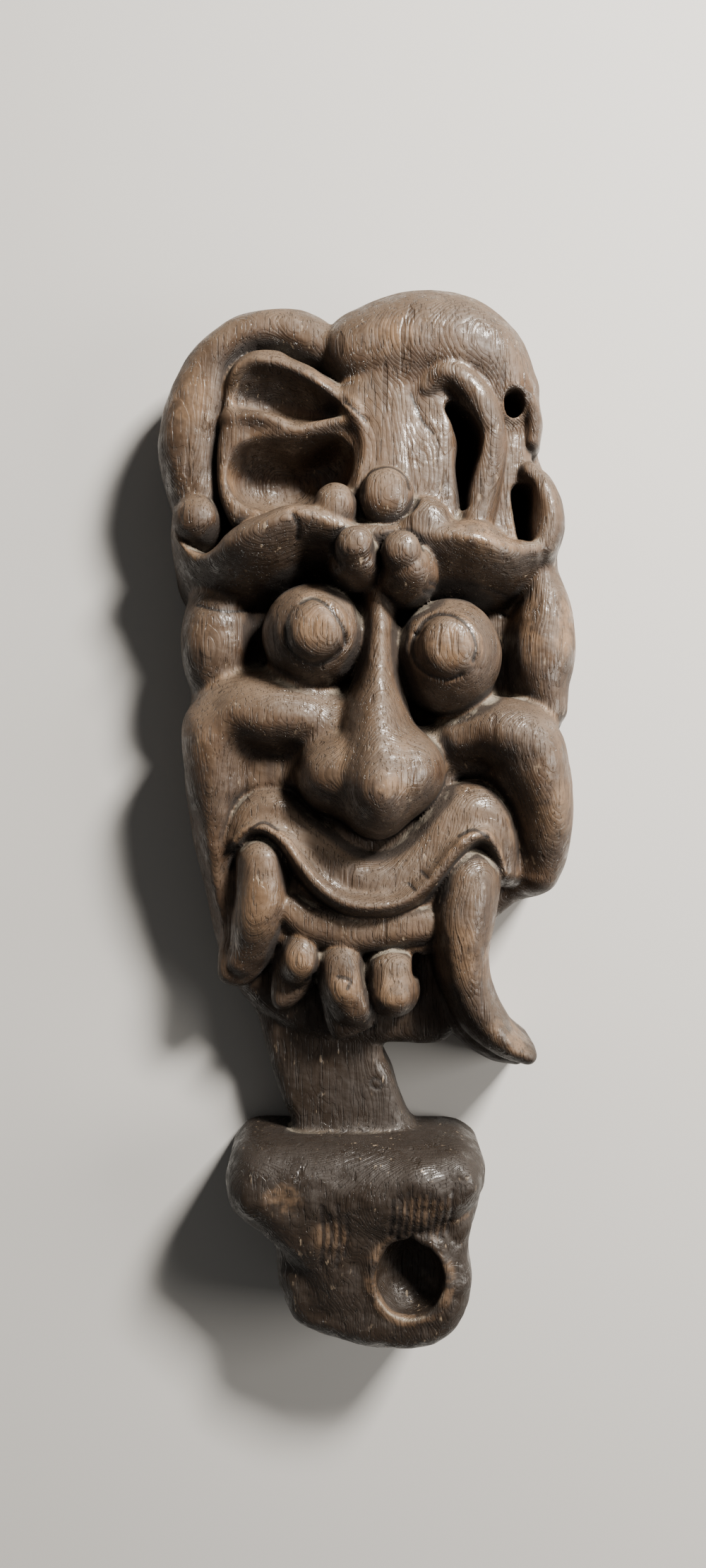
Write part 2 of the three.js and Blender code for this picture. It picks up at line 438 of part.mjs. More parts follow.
// Thins a closed skin, joining the two ends of whichever edge changes the form least
function thin({ points, faces }, wanted) {
  const at = points.map((point) => new THREE.Vector3(...point));
  const onBack = at.map((point) => Math.abs(point.z) < FLAT);
  const facesAt = at.map(() => new Set());
  const stamp = at.map(() => 0);
  const error = at.map(() => new Float64Array(10));
  const normalOf = ([a, b, c]) => new THREE.Vector3().subVectors(at[b], at[a])
    .cross(new THREE.Vector3().subVectors(at[c], at[a]));
  faces.forEach((face, index) => {
    const normal = normalOf(face);
    const area = normal.length() / 2;
    normal.normalize();
    const plane = [normal.x, normal.y, normal.z, -normal.dot(at[face[0]])];
    for (const v of face) {
      facesAt[v].add(index);
      let n = 0;
      for (let r = 0; r < 4; r += 1) {
        for (let c = r; c < 4; c += 1) {
          error[v][n] += area * plane[r] * plane[c];
          n += 1;
        }
      }
    }
  });
  const costAt = (e, { x, y, z }) => e[0] * x * x + 2 * e[1] * x * y + 2 * e[2] * x * z + 2 * e[3] * x
    + e[4] * y * y + 2 * e[5] * y * z + 2 * e[6] * y + e[7] * z * z + 2 * e[8] * z + e[9];

  function joinOf(a, b) {
    const e = error[a].map((value, n) => value + error[b][n]);
    const middle = new THREE.Vector3().addVectors(at[a], at[b]).multiplyScalar(0.5);
    let target = middle;
    if (onBack[a] !== onBack[b]) {
      target = at[onBack[a] ? a : b].clone();
    } else {
      const pull = SETTLE * (e[0] + e[4] + e[7]) + 1e-9;
      const matrix = new THREE.Matrix3();
      matrix.set(e[0] + pull, e[1], e[2], e[1], e[4] + pull, e[5], e[2], e[5], e[7] + pull);
      const side = new THREE.Vector3(pull * middle.x - e[3], pull * middle.y - e[6], pull * middle.z - e[8]);
      target = side.applyMatrix3(matrix.invert());
      target.z = onBack[a] ? 0 : Math.max(target.z, 0);
      if (target.distanceTo(middle) > 2 * at[a].distanceTo(at[b])) target = middle;
    }
    return { a, b, target, cost: costAt(e, target) + EVENNESS * at[a].distanceToSquared(at[b]) };
  }

  const heap = [];
  const push = (item) => {
    let n = heap.push(item) - 1;
    while (n > 0 && heap[(n - 1) >> 1].cost > item.cost) {
      heap[n] = heap[(n - 1) >> 1];
      n = (n - 1) >> 1;
    }
    heap[n] = item;
  };
  const pop = () => {
    const first = heap[0];
    const last = heap.pop();
    let n = 0;
    while (2 * n + 1 < heap.length) {
      let child = 2 * n + 1;
      if (child + 1 < heap.length && heap[child + 1].cost < heap[child].cost) child += 1;
      if (heap[child].cost >= last.cost) break;
      heap[n] = heap[child];
      n = child;
    }
    if (heap.length > 0) heap[n] = last;
    return first;
  };
  const neighbours = (v) => {
    const found = new Set();
    for (const index of facesAt[v]) for (const other of faces[index]) if (other !== v) found.add(other);
    return found;
  };
  const offer = (a, b) => push({ ...joinOf(a, b), stamps: stamp[a] + stamp[b] });
  const turns = (v, other, target) => [...facesAt[v]].some((index) => {
    if (faces[index].includes(other)) return false;
    const before = normalOf(faces[index]).normalize();
    const [p, q, r] = faces[index].map((n) => (n === v ? target : at[n]));
    const after = new THREE.Vector3().subVectors(q, p).cross(new THREE.Vector3().subVectors(r, p));
    return after.length() < FLAT || after.normalize().dot(before) < STEEPEST_TURN;
  });

  faces.forEach(([a, b, c]) => [[a, b], [b, c], [c, a]].forEach(([p, q]) => p < q && offer(p, q)));
  let left = faces.length;
  while (left > wanted && heap.length > 0) {
    const { a, b, target, stamps } = pop();
    if (stamp[a] < 0 || stamp[b] < 0 || stamps !== stamp[a] + stamp[b]) continue;
    const nearB = neighbours(b);
    const shared = [...neighbours(a)].filter((v) => nearB.has(v));
    if (!nearB.has(a) || shared.length !== 2 || turns(a, b, target) || turns(b, a, target)) continue;
    at[a].copy(target);
    error[a].forEach((value, n) => { error[a][n] = value + error[b][n]; });
    onBack[a] = onBack[a] || onBack[b];
    for (const index of facesAt[b]) {
      if (faces[index].includes(a)) {
        faces[index].forEach((v) => v !== b && facesAt[v].delete(index));
        faces[index] = null;
        left -= 1;
      } else {
        faces[index] = faces[index].map((v) => (v === b ? a : v));
        facesAt[a].add(index);
      }
    }
    stamp[b] = -Infinity;
    stamp[a] += 1;
    for (const v of neighbours(a)) offer(Math.min(a, v), Math.max(a, v));
  }
  return { points: at, faces: faces.filter((face) => face !== null) };
}

function geometryOf({ points, faces }) {
  const geometry = new THREE.BufferGeometry();
  const positions = faces.flatMap((face) => face.flatMap((v) => points[v].toArray()));
  geometry.setAttribute('position', new THREE.Float32BufferAttribute(positions, 3));
  geometry.computeBoundingBox();
  const middle = geometry.boundingBox.getCenter(new THREE.Vector3());
  geometry.translate(-middle.x, -middle.y, 0);
  geometry.computeVertexNormals();
  return geometry;
}

const carvedWood = new THREE.MeshStandardMaterial({ color: 0x6b5646, roughness: 0.6, metalness: 0 });
const mask = new THREE.Mesh(geometryOf(thin(skinOfField(), TRIANGLES)), carvedWood);
mask.name = 'carved_mask';

const part = new THREE.Group();
part.add(mask);

export default part;
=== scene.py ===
import bpy
import numpy as np
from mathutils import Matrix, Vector


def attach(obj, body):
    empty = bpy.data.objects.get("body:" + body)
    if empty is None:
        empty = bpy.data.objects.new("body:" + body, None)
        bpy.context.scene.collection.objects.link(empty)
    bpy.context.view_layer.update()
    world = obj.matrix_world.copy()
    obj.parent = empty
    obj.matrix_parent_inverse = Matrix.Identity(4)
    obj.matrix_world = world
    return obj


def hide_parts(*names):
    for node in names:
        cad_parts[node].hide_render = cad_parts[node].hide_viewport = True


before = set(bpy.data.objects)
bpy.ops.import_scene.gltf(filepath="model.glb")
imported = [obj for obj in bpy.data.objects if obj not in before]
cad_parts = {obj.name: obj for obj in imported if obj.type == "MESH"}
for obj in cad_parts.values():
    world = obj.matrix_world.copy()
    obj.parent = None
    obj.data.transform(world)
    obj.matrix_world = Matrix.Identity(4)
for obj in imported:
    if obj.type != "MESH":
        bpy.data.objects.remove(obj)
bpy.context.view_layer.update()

# Lengths of the carving are in millimetres, and MM turns them into the scene's metres
MM = 0.001

# Heights above the flat back
NECK_TOP = 30
BACKING_TOP = 31
JAW_TOP = 32
PALATE_TOP = 48
PANEL_TOP = 50
FOOT_TOP = 55
BLOCK_TOP = 56
FOREHEAD_TOP = 57
BOSS_CREST = 64
KNOB_CREST = 70
LEFT_EYE_CREST = 72
RIGHT_EYE_CREST = 73
LEFT_PUPIL_CREST = 75
RIGHT_PUPIL_CREST = 76
BULB_CREST = 77
BALL_CREST = 80
NOSE_CREST = 86

# The grid that the carving is worked out on, and the most triangles of its mesh
GRID_LOW = (-92, -224, -4)
GRID_HIGH = (92, 224, 94)
PITCH = 1.0
MOST_TRIANGLES = 190000

# How forms are worked out: the rounding of the back's edge, the steps between two points of a curve, the
# reach past a form's edge, the length over which a ridge's widths and crests even out, the softness
# inside a tight turn, the reach of an incised line in widths, and the value of open air
BACK_EDGE = 5
CURVE_STEPS = 6
REACH = 12
MELT = 2.0
TURN = 0.05
LINE_REACH = 3
OPEN_AIR = 1000
TINY = 1e-6

# Chisel marks on the base and split wood beside them: how many, where the first is, the step from one to
# the next, and the heights up the mask that they run between
CHISEL_MARKS = 9
FIRST_MARK_X = 10.3
MARK_STEP = 2.9
MARK_TOP = -151.3
MARK_FOOT = -167.3
SPLITS = 4
FIRST_SPLIT_X = -18.4
SPLIT_STEP = 3.2
SPLIT_TOP = -154.7
SPLIT_FOOT = -181.2

# How the mesh is moved onto the field: rounds, the longest move, the least slope and the slope's step
SETTLE_ROUNDS = 2
LONGEST_MOVE = 0.6
LEAST_SLOPE = 0.2
SLOPE_STEP = 0.7

# Hand-cut unevenness, as (depth, size, seed). It starts at the back's edge and is full EVEN_EDGE above it,
# and it is rougher on the base, from BASE_FROM down
CUTS = [(0.30, 11.0, 3), (0.16, 4.5, 7)]
EVEN_EDGE = 6
BASE_FROM = -136
BASE_FADE = 10
BASE_ROUGHER = 2.5

# How far off the surface its creases, hollows and worn edges are felt for
CREASE_WIDTH = 2.5
HOLLOW_WIDTH = 9.0
WORN_DEPTH = 3.5

# Places (x, y, radius) that hands and knocks have rubbed back to the wood: fangs, teeth, pupils, right
# temple and cheek, nose, brow, dome, left roll and cheek, and the chipped parts of the base
WORN_SHARE = 0.55
WORN_PLACES = [
    (23, -158, 13), (-14, -168, 10), (41, -55, 15), (57, -92, 13), (-44, -38, 14), (76, 77, 17),
    (70, 2, 17), (32, 67, 11), (-20, 74, 10), (10, 8, 12), (-71, 32, 13), (10, -72, 9), (-9, -71, 9),
    (-28, -61, 8), (47, 109, 15), (11, 193, 12), (-75, 172, 14), (-34, -153, 10),
]

# Colours of the wood, of what lies on it, and of the painted light and shade
WOOD_DARK = (0.040, 0.023, 0.014, 1)
WOOD_WARM = (0.112, 0.062, 0.034, 1)
WOOD_PALE = (0.190, 0.122, 0.074, 1)
WOOD_RUBBED = (0.300, 0.186, 0.106, 1)
# The film's colours: a real film of wax and dust, and painted light on the sides that face the lamp
FILM_AND_PAINTED_LIGHT_DARK = (0.096, 0.064, 0.041, 1)
FILM_AND_PAINTED_LIGHT_PALE = (0.168, 0.117, 0.077, 1)
# Painted shade, laid on the neck and base and on the sides that face down
PAINTED_SHADE = (0.019, 0.013, 0.009, 1)
# Dark of dirt and of painted shade in hollows, creases and incised lines, and of the pores
DIRT_AND_SHADE = (0.014, 0.010, 0.008, 1)
DUST = (0.330, 0.285, 0.220, 1)
# Painted glints: pale flecks where scratches catch the light
SCRATCH_GLINT = (0.430, 0.330, 0.230, 1)

# How strongly each coat, mark, painted shade or painted glint covers the colour under it
COVER = {
    "streak": 0.45, "film_and_painted_light": 0.85, "rubbed": 0.65, "rings": 0.34, "split": 0.55, "base": 0.95,
    "shade": 0.80, "dirt_and_shade": 0.80, "dust": 0.65, "pore": 0.40, "line": 0.85, "scratch_glint": 0.50,
}

# Soft random shades of the wood, as (features to the metre, detail, roughness, share of the features that
# is left along the grain)
CLOUDS = {
    "blotch": (24, 4, 0.60, 1), "patch": (60, 4, 0.65, 1), "gloss": (85, 4, 0.65, 1),
    "facets": (130, 2, 0.50, 1), "speck": (420, 3, 0.60, 1), "streak": (330, 3, 0.60, 0.06),
    "pore": (1300, 2, 0.50, 0.05), "split": (210, 2, 0.50, 0.09), "scratch_glint": (460, 2, 0.50, 0.30),
    "wander": (14, 3, 0.50, 0.45), "flutter": (95, 2, 0.50, 0.35),
}

# The way from the log's pith, behind the left side, to the middle of the back, the spacings of the broad
# and fine rings, and how far they wander and flutter, all in metres; then the taper of the log
FROM_PITH = (0.03, 0.0, 0.11)
RING_SPACINGS = (0.0021, 0.00068)
RING_WANDER = 0.024
RING_FLUTTER = 0.0022
TAPER = 0.05

# Where down the mask the painted shade of the neck and base begins, and where it is full, in metres
PAINTED_SHADE_FROM = -0.04
PAINTED_SHADE_FULL = -0.12

# Roughness of the bare wood, the wax on its glossy spots, and the depths of grain and facets in metres
BARE_ROUGHNESS = 0.47
WAX = 0.42
WAX_ROUGHNESS = 0.14
GRAIN_DEPTH = 0.0004
FACET_DEPTH = 0.0016

# Lamps, in metres and watts, with the sky and the floor
KEY_LAMP = {"place": (0.60, 0.72, 0.82), "target": (0, 0.04, 0.05), "size": 0.24, "power": 42}
FILL_LAMP = {"place": (0.85, -0.05, 0.55), "target": (0, 0, 0.05), "size": 0.5, "power": 7}
LAMP_COLOUR = (1.0, 0.95, 0.88)
SKY_COLOUR = (1.0, 0.97, 0.93, 1)
SKY_STRENGTH = 0.09
FLOOR_COLOUR = (0.62, 0.61, 0.59, 1)
FLOOR_REACH = 3

# The camera looks straight down on the mask; the picture is 1000 by 2222, and SENSOR is its long side
PICTURE_HEIGHT = 2222
FOCAL_PIXELS = 1771
SENSOR = 36
CAMERA_AT = (-5.85, 12.95, 560)


def smooth_min(a, b, blend):
    """The lesser of two fields, melted together where they are nearly equal."""
    overlap = np.clip(blend - np.abs(a - b), 0, None) / blend
    return np.minimum(a, b) - overlap * overlap * blend * 0.25


def curve_through(points, closed=False):
    """A smooth curve through the points, as an array with the same columns."""
    p = np.asarray(points, float)
    if closed:
        before, here, after, beyond = (np.roll(p, shift, 0) for shift in (1, 0, -1, -2))
    else:
        ends = np.vstack([2 * p[0] - p[1], p, 2 * p[-1] - p[-2]])
        before, here, after, beyond = ends[:-3], ends[1:-2], ends[2:-1], ends[3:]
    out = []
    for a, b, c, d in zip(before, here, after, beyond):
        for t in np.arange(CURVE_STEPS) / CURVE_STEPS:
            out.append(0.5 * (2 * b + (c - a) * t + (2 * a - 5 * b + 4 * c - d) * t**2
                              + (3 * b - 3 * c + d - a) * t**3))
    if not closed:
        out.append(p[-1])
    return np.array(out)


class Carving:
    """A block of air on a grid, into which forms of wood are joined or cut: negative is inside."""

    def __init__(self, low, high, pitch):
        self.low = np.array(low, float)
        self.pitch = pitch
        counts = [int(np.ceil((high[n] - low[n]) / pitch)) + 1 for n in range(3)]
        self.axes = [low[n] + pitch * np.arange(counts[n]) for n in range(3)]
        self.field = np.full(counts, OPEN_AIR, np.float32)
        self.grooves = []

    def near(self, points, reach):
        """The columns of the grid in reach of the points, as a window on the field, and their x and y."""
        window = []
        for n in range(2):
            first = int((points[:, n].min() - reach - self.low[n]) / self.pitch)
            last = int((points[:, n].max() + reach - self.low[n]) / self.pitch) + 2
            window.append(slice(max(first, 0), max(last, 0)))
        x, y = np.meshgrid(self.axes[0][window[0]], self.axes[1][window[1]], indexing="ij")
        return tuple(window), x, y

    def put(self, window, form, blend, cut):
        """Joins a form to the wood, or cuts it away."""
        old = self.field[window]
        self.field[window] = -smooth_min(-old, form, blend) if cut else smooth_min(old, form, blend)

    def section(self, across, along, crest, radii, height, lean, flare, power, cut):
        """Section of a ridge or knob: round over the top, upright below, leaning with its height."""
        up = -1 if cut else 1
        rise = up * (self.axes[2][None, None, :] - (crest - up * height)[:, :, None])
        leant = np.clip(rise, -height, height)
        spread = flare * np.clip(-rise, 0, None)
        rx = radii[0][:, :, None] + spread
        ry = radii[1][:, :, None] + spread
        qx = (across[:, :, None] - lean[0] * leant) / rx
        qy = (along[:, :, None] - lean[1] * leant) / ry
        rho = np.hypot(qx, qy) + TINY
        slope = np.hypot(qx / rx, qy / ry) / rho + TINY
        qz = np.clip(rise, 0, None) / height
        k = (rho**power + qz**power) ** (1 / power)
        return (k - 1) / np.hypot((rho / k) ** (power - 1) * slope, (qz / k) ** (power - 1) / height)

    def nearest(self, curve, x, y):
        """Offset from the curve, its crest, half width and direction at each column."""
        rows = []
        for a, b in zip(curve[:-1], curve[1:]):
            ex, ey = b[0] - a[0], b[1] - a[1]
            length = max(np.hypot(ex, ey), TINY)
            t = np.clip(((x - a[0]) * ex + (y - a[1]) * ey) / length**2, 0, 1)
            dx = x - a[0] - t * ex
            dy = y - a[1] - t * ey
            crest = a[2] + t * (b[2] - a[2])
            radius = a[3] + t * (b[3] - a[3])
            one = np.ones(x.shape)
            rows.append((np.hypot(dx, dy), dx, dy, crest, radius, one * ex / length, one * ey / length))
        rows = np.array(rows)
        distance = rows[:, 0]
        weight = np.exp((distance.min(axis=0) - distance) / MELT)
        weight /= weight.sum(axis=0)
        first = distance.argmin(axis=0)[None]
        dx, dy = (np.take_along_axis(rows[:, n], first, 0)[0] for n in (1, 2))
        return (dx, dy, *((weight * rows[:, n]).sum(axis=0) for n in (3, 4, 5, 6)))

    def ridge(self, path, height, blend, lean=(0, 0), flare=0, power=2, cut=False):
        """A ridge along a curve of points (x, y, crest height, half width); cut, a trough."""
        curve = curve_through(path)
        reach = curve[:, 3].max() + REACH + (abs(lean[0]) + abs(lean[1])) * height
        window, x, y = self.near(curve, reach)
        dx, dy, crest, radius, tx, ty = self.nearest(curve, x, y)
        distance = np.hypot(dx, dy)
        side = (dy * tx - dx * ty) / (np.hypot(tx, ty) + TURN)
        across = np.clip(side, -distance, distance)
        along = np.sqrt(np.clip(distance**2 - across**2, 0, None))
        sideways = (lean[1] * tx - lean[0] * ty)[:, :, None]
        form = self.section(across, along, crest, (radius, radius), height, (sideways, 0), flare, power, cut)
        self.put(window, form, blend, cut)

    def knob(self, at, radii, height, blend, lean=(0, 0), flare=0, power=2, cut=False):
        """A round or oval knob at (x, y, crest height); cut, a hollow."""
        window, x, y = self.near(np.array([at]), max(radii) + REACH)
        one = np.ones(x.shape)
        form = self.section(x - at[0], y - at[1], at[2] * one, (radii[0] * one, radii[1] * one), height,
                            lean, flare, power, cut)
        self.put(window, form, blend, cut)

    def block(self, outline, top, edge, blend, tilt=(0, 0), crown=(0, 0, 1)):
        """A block inside a smooth outline, its top tilted, or crowned by (drop, x, half width)."""
        curve = curve_through(outline, closed=True)
        window, x, y = self.near(curve, REACH)
        distance = np.full(x.shape, np.inf)
        inside = np.zeros(x.shape, bool)
        for a, b in zip(np.roll(curve, 1, 0), curve):
            ex, ey = b - a
            t = np.clip(((x - a[0]) * ex + (y - a[1]) * ey) / max(ex * ex + ey * ey, TINY), 0, 1)
            distance = np.minimum(distance, np.hypot(x - a[0] - t * ex, y - a[1] - t * ey))
            if ey != 0:
                inside ^= ((a[1] > y) != (b[1] > y)) & (x < a[0] + (y - a[1]) / ey * ex)
        middle = curve.mean(axis=0)
        height = top + tilt[0] * (x - middle[0]) + tilt[1] * (y - middle[1])
        height = height - crown[0] * ((x - crown[1]) / crown[2]) ** 2
        a = (np.where(inside, -distance, distance) + edge)[:, :, None]
        b = self.axes[2][None, None, :] - height[:, :, None] + edge
        form = np.minimum(np.maximum(a, b), 0) + np.hypot(np.maximum(a, 0), np.maximum(b, 0)) - edge
        self.put(window, form, blend, False)

    def groove(self, path, width, depth):
        """A line cut into the surface, as wide and deep as given, along points (x, y)."""
        curve = curve_through([(x, y, 0, 0) for x, y in path])
        window, x, y = self.near(curve, LINE_REACH * width)
        dx, dy = self.nearest(curve, x, y)[:2]
        cut = depth * np.exp(-(dx**2 + dy**2) / width**2)
        self.field[window] += cut[:, :, None].astype(np.float32)
        self.grooves.append((curve, width))

    def flatten_back(self):
        """The back is a plane, and its edge is rounded."""
        self.field = -smooth_min(-self.field, self.axes[2][None, None, :], BACK_EDGE)


def carve_head(c):
    """The slab behind the face, the forehead and the dome of the skull."""
    # backing
    c.block([(-20.5, 202), (-38.5, 212.5), (-58, 207), (-72, 194.5), (-81.5, 173.5), (-82.5, 152.5),
        (-80.5, 115.5), (-75, 96), (-77.5, 78), (-73.5, 52), (-76, 19.5), (-74.5, -5.5), (-68.5, -30),
        (-62, -58), (-52.5, -76.5), (-30.5, -89), (12.5, -95), (37.5, -79.5), (53, -48.5), (68.5, -34),
        (81, -19), (84, 4), (82, 32), (86.5, 72), (78.5, 107.5), (83.5, 124.5), (72, 158.5),
        (73.5, 171), (67, 189.5), (56, 205), (40.5, 214), (12.5, 215.5), (-6, 209)
      ], top=BACKING_TOP, edge=9, blend=0.01)
    # forehead
    c.block([(-14.5, 170), (-6, 178.5), (11, 183.5), (28.5, 183.5), (37, 170), (37.5, 147),
        (39.5, 121.5), (37, 101.5), (11, 96), (-14.5, 101.5), (-16.5, 118.5), (-6, 133), (-0.5, 147),
        (-3.5, 161)], top=FOREHEAD_TOP, edge=7, crown=(3, 13, 30), blend=3)
    # right of the forehead
    c.block([(35, 190.5), (52, 190.5), (64.5, 181.5), (67.5, 167), (68, 149.5), (74, 132), (74.5, 106),
        (52, 103), (35, 103), (32, 149.5)], top=46, edge=6, tilt=(-0.06, 0), blend=3)
    # dome
    c.ridge([(-1.5, 190, 59, 18.5), (9.5, 192, 61, 24), (21.5, 193, 62, 25), (35.5, 191.5, 62, 25),
        (48, 185.5, 60, 21.5), (55, 174.5, 56, 17)], height=30, power=2.3, blend=4)


def carve_crest(c):
    """A thick roll round a panel with two scoops, on the left of the head."""
    # left roll
    c.ridge([(-18, 193.5, 49, 10.5), (-25, 197.5, 49, 13), (-34.5, 201, 49, 11.5),
        (-47, 200.5, 49, 10.5), (-55.5, 196.5, 49, 10.5), (-64.5, 187, 48, 12.5), (-69.5, 173, 48, 15),
        (-73, 159.5, 48, 15.5), (-73.5, 146, 47, 14), (-71, 134, 45, 13)
      ], height=24, power=2.5, blend=1.5)
    # scooped panel
    c.block([(-58, 168), (-56, 181.5), (-51.5, 188), (-46, 191), (-37, 191), (-29.5, 187), (-21, 182.5),
        (-7.5, 174), (3, 161.5), (1.5, 144), (-9, 126), (-35, 122), (-52.5, 119), (-57.5, 122),
        (-61.5, 135), (-61.5, 154)], top=PANEL_TOP, edge=4, tilt=(0.05, 0), blend=0.8)
    # panel rim
    c.ridge([(-55.5, 162.5, 49, 4), (-55, 171.5, 51, 5), (-52, 180.5, 53, 5.5), (-46, 184.5, 54, 5.5),
        (-36.5, 183.5, 55, 5.5), (-26.5, 178.5, 56, 5.5), (-16, 171, 57, 5), (-4.5, 162, 57, 3.5)
      ], height=13, blend=2.5)
    # upper scoop
    c.ridge([(-49, 170.5, 42, 7), (-37, 169.5, 39, 9), (-24.5, 166.5, 40, 8), (-13.5, 163.5, 45, 4)
      ], height=14, blend=6, cut=True)
    # lower scoop
    c.ridge([(-44, 139.5, 29, 13.5), (-33.5, 139, 25, 15), (-23, 141, 25, 14.5), (-18, 142.5, 28, 12.5)
      ], height=24, power=2.2, blend=3, cut=True)
    # rib between scoops
    c.ridge([(-58, 160.5, 47, 4), (-49, 160.5, 51, 5), (-39, 158.5, 52, 5.5), (-30, 154.5, 52, 5),
        (-20, 156, 52, 4.5), (-9.5, 158, 54, 4.5), (-6, 157, 55, 3.5)
      ], height=15, lean=(0, 0.2), power=2.2, blend=3)
    # right side of the panel
    c.ridge([(-6, 166, 56, 5), (-2, 158.5, 56, 5), (-0.5, 147, 56, 5), (-4, 132.5, 57, 4)
      ], height=14, blend=4)


def carve_brows(c):
    """Two drooping rolls, with the balls and bulbs that sit on them."""
    # left brow
    c.ridge([(-78.5, 126.5, 44, 4), (-78.5, 112.5, 46, 6), (-72.5, 100.5, 52, 8.5),
        (-62.5, 97.5, 60, 10.5), (-50.5, 100, 68, 14), (-39, 105, 73, 14.5), (-26.5, 109.5, 74, 12.5),
        (-17, 107, 72, 11), (-8.5, 103.5, 70, 10)], height=34, lean=(0, 0.3), power=1.8, blend=1.5)
    # left brow top
    c.ridge([(-55.5, 110.5, 57, 4), (-47.5, 115, 61, 5.5), (-35, 116, 66, 6.5), (-22.5, 116.5, 68, 7),
        (-15.5, 115.5, 68, 7)], height=22, blend=3)
    # left cup
    c.knob([-70.5, 120.5, 40], radii=(11.5, 12), height=14, blend=1, cut=True)
    # left ball
    c.knob([-70.5, 122, 52], radii=(10.5, 11.5), height=16, power=2.4, blend=0.5)
    # left knob
    c.knob([-13, 123.5, KNOB_CREST], radii=(9, 10), height=14, power=2.6, blend=2.5)
    # right brow
    c.ridge([(15, 101.5, 68, 10), (25, 101, 72, 11.5), (36.5, 101, 74, 12), (49.5, 98, 72, 11),
        (62.5, 98, 65, 9), (76, 104, 52, 5.5)], height=34, lean=(0, 0.3), power=1.8, blend=1.5)
    # right brow top
    c.ridge([(33, 112.5, 68, 7), (45.5, 112, 67, 8.5), (56, 106, 64, 7.5), (66.5, 107, 58, 7)
      ], height=24, blend=3)
    # right knob
    c.knob([22.5, 116, KNOB_CREST], radii=(11, 12), height=14, power=2.5, blend=3.5)
    # middle of the brows
    c.knob([6, 112, 67], radii=(17, 8.5), height=18, blend=4)
    # hood
    c.knob([8.5, 131, 58], radii=(13.5, 14.5), height=9, blend=1, cut=True)
    # middle ball
    c.knob([7.5, 128, 70], radii=(11, 12.5), height=12, power=2.7, blend=0.8)
    # left bulb
    c.knob([-4, 101.5, BULB_CREST], radii=(12, 12), height=30, power=2.3, blend=0.8)
    # right bulb
    c.knob([16, 98, BULB_CREST], radii=(13.5, 14), height=30, power=2.3, blend=0.8)
    # left inner ball
    c.knob([-5.5, 106, BALL_CREST], radii=(8, 8.5), height=11, power=2.6, blend=0.5)
    # right inner ball
    c.knob([13, 104, BALL_CREST], radii=(8.5, 9), height=11, power=2.6, blend=0.5)


def carve_locks(c):
    """A looped strand and a hooked ridge on the right, with deep pockets between them."""
    # hooked ridge
    c.ridge([(50.5, 174.5, 53, 4), (53.5, 179, 55, 4.5), (59, 181, 55, 5), (63.5, 177.5, 53, 5),
        (66.5, 170.5, 51, 5), (68.5, 162, 49, 5), (68, 154, 47, 4.5)], height=18, power=2.3, blend=1.5)
    # outer curl
    c.ridge([(66, 141.5, 50, 5), (70.5, 136.5, 53, 7), (73.5, 128.5, 55, 8), (74, 118.5, 56, 8.5),
        (71.5, 109.5, 56, 7.5)], height=24, power=2.3, blend=1.5)
    # strand
    c.ridge([(23.5, 172.5, 58, 5), (28, 177, 61, 7), (34, 178, 62, 7.5), (41.5, 172, 62, 7.5),
        (47, 163, 62, 7.5), (49.5, 153, 61, 7.5), (48, 141.5, 60, 8), (45.5, 129, 59, 8),
        (43.5, 120, 59, 8)], height=15, power=2.4, blend=1.2)
    # long pocket
    c.ridge([(34, 165, 34, 2), (38, 159.5, 26, 3.5), (41, 151.5, 22, 4), (39.5, 141, 22, 3),
        (39, 130.5, 30, 1.5), (39, 125, 42, 1)], height=8, flare=0.04, blend=1, cut=True)
    # round pocket
    c.knob([59.5, 168, 28], radii=(4.5, 5), height=8, blend=1, cut=True)
    # outer pocket
    c.ridge([(63.5, 132.5, 12, 4.5), (64, 124, 12, 4), (65, 113.5, 22, 2.5)
      ], height=8, blend=1, cut=True)


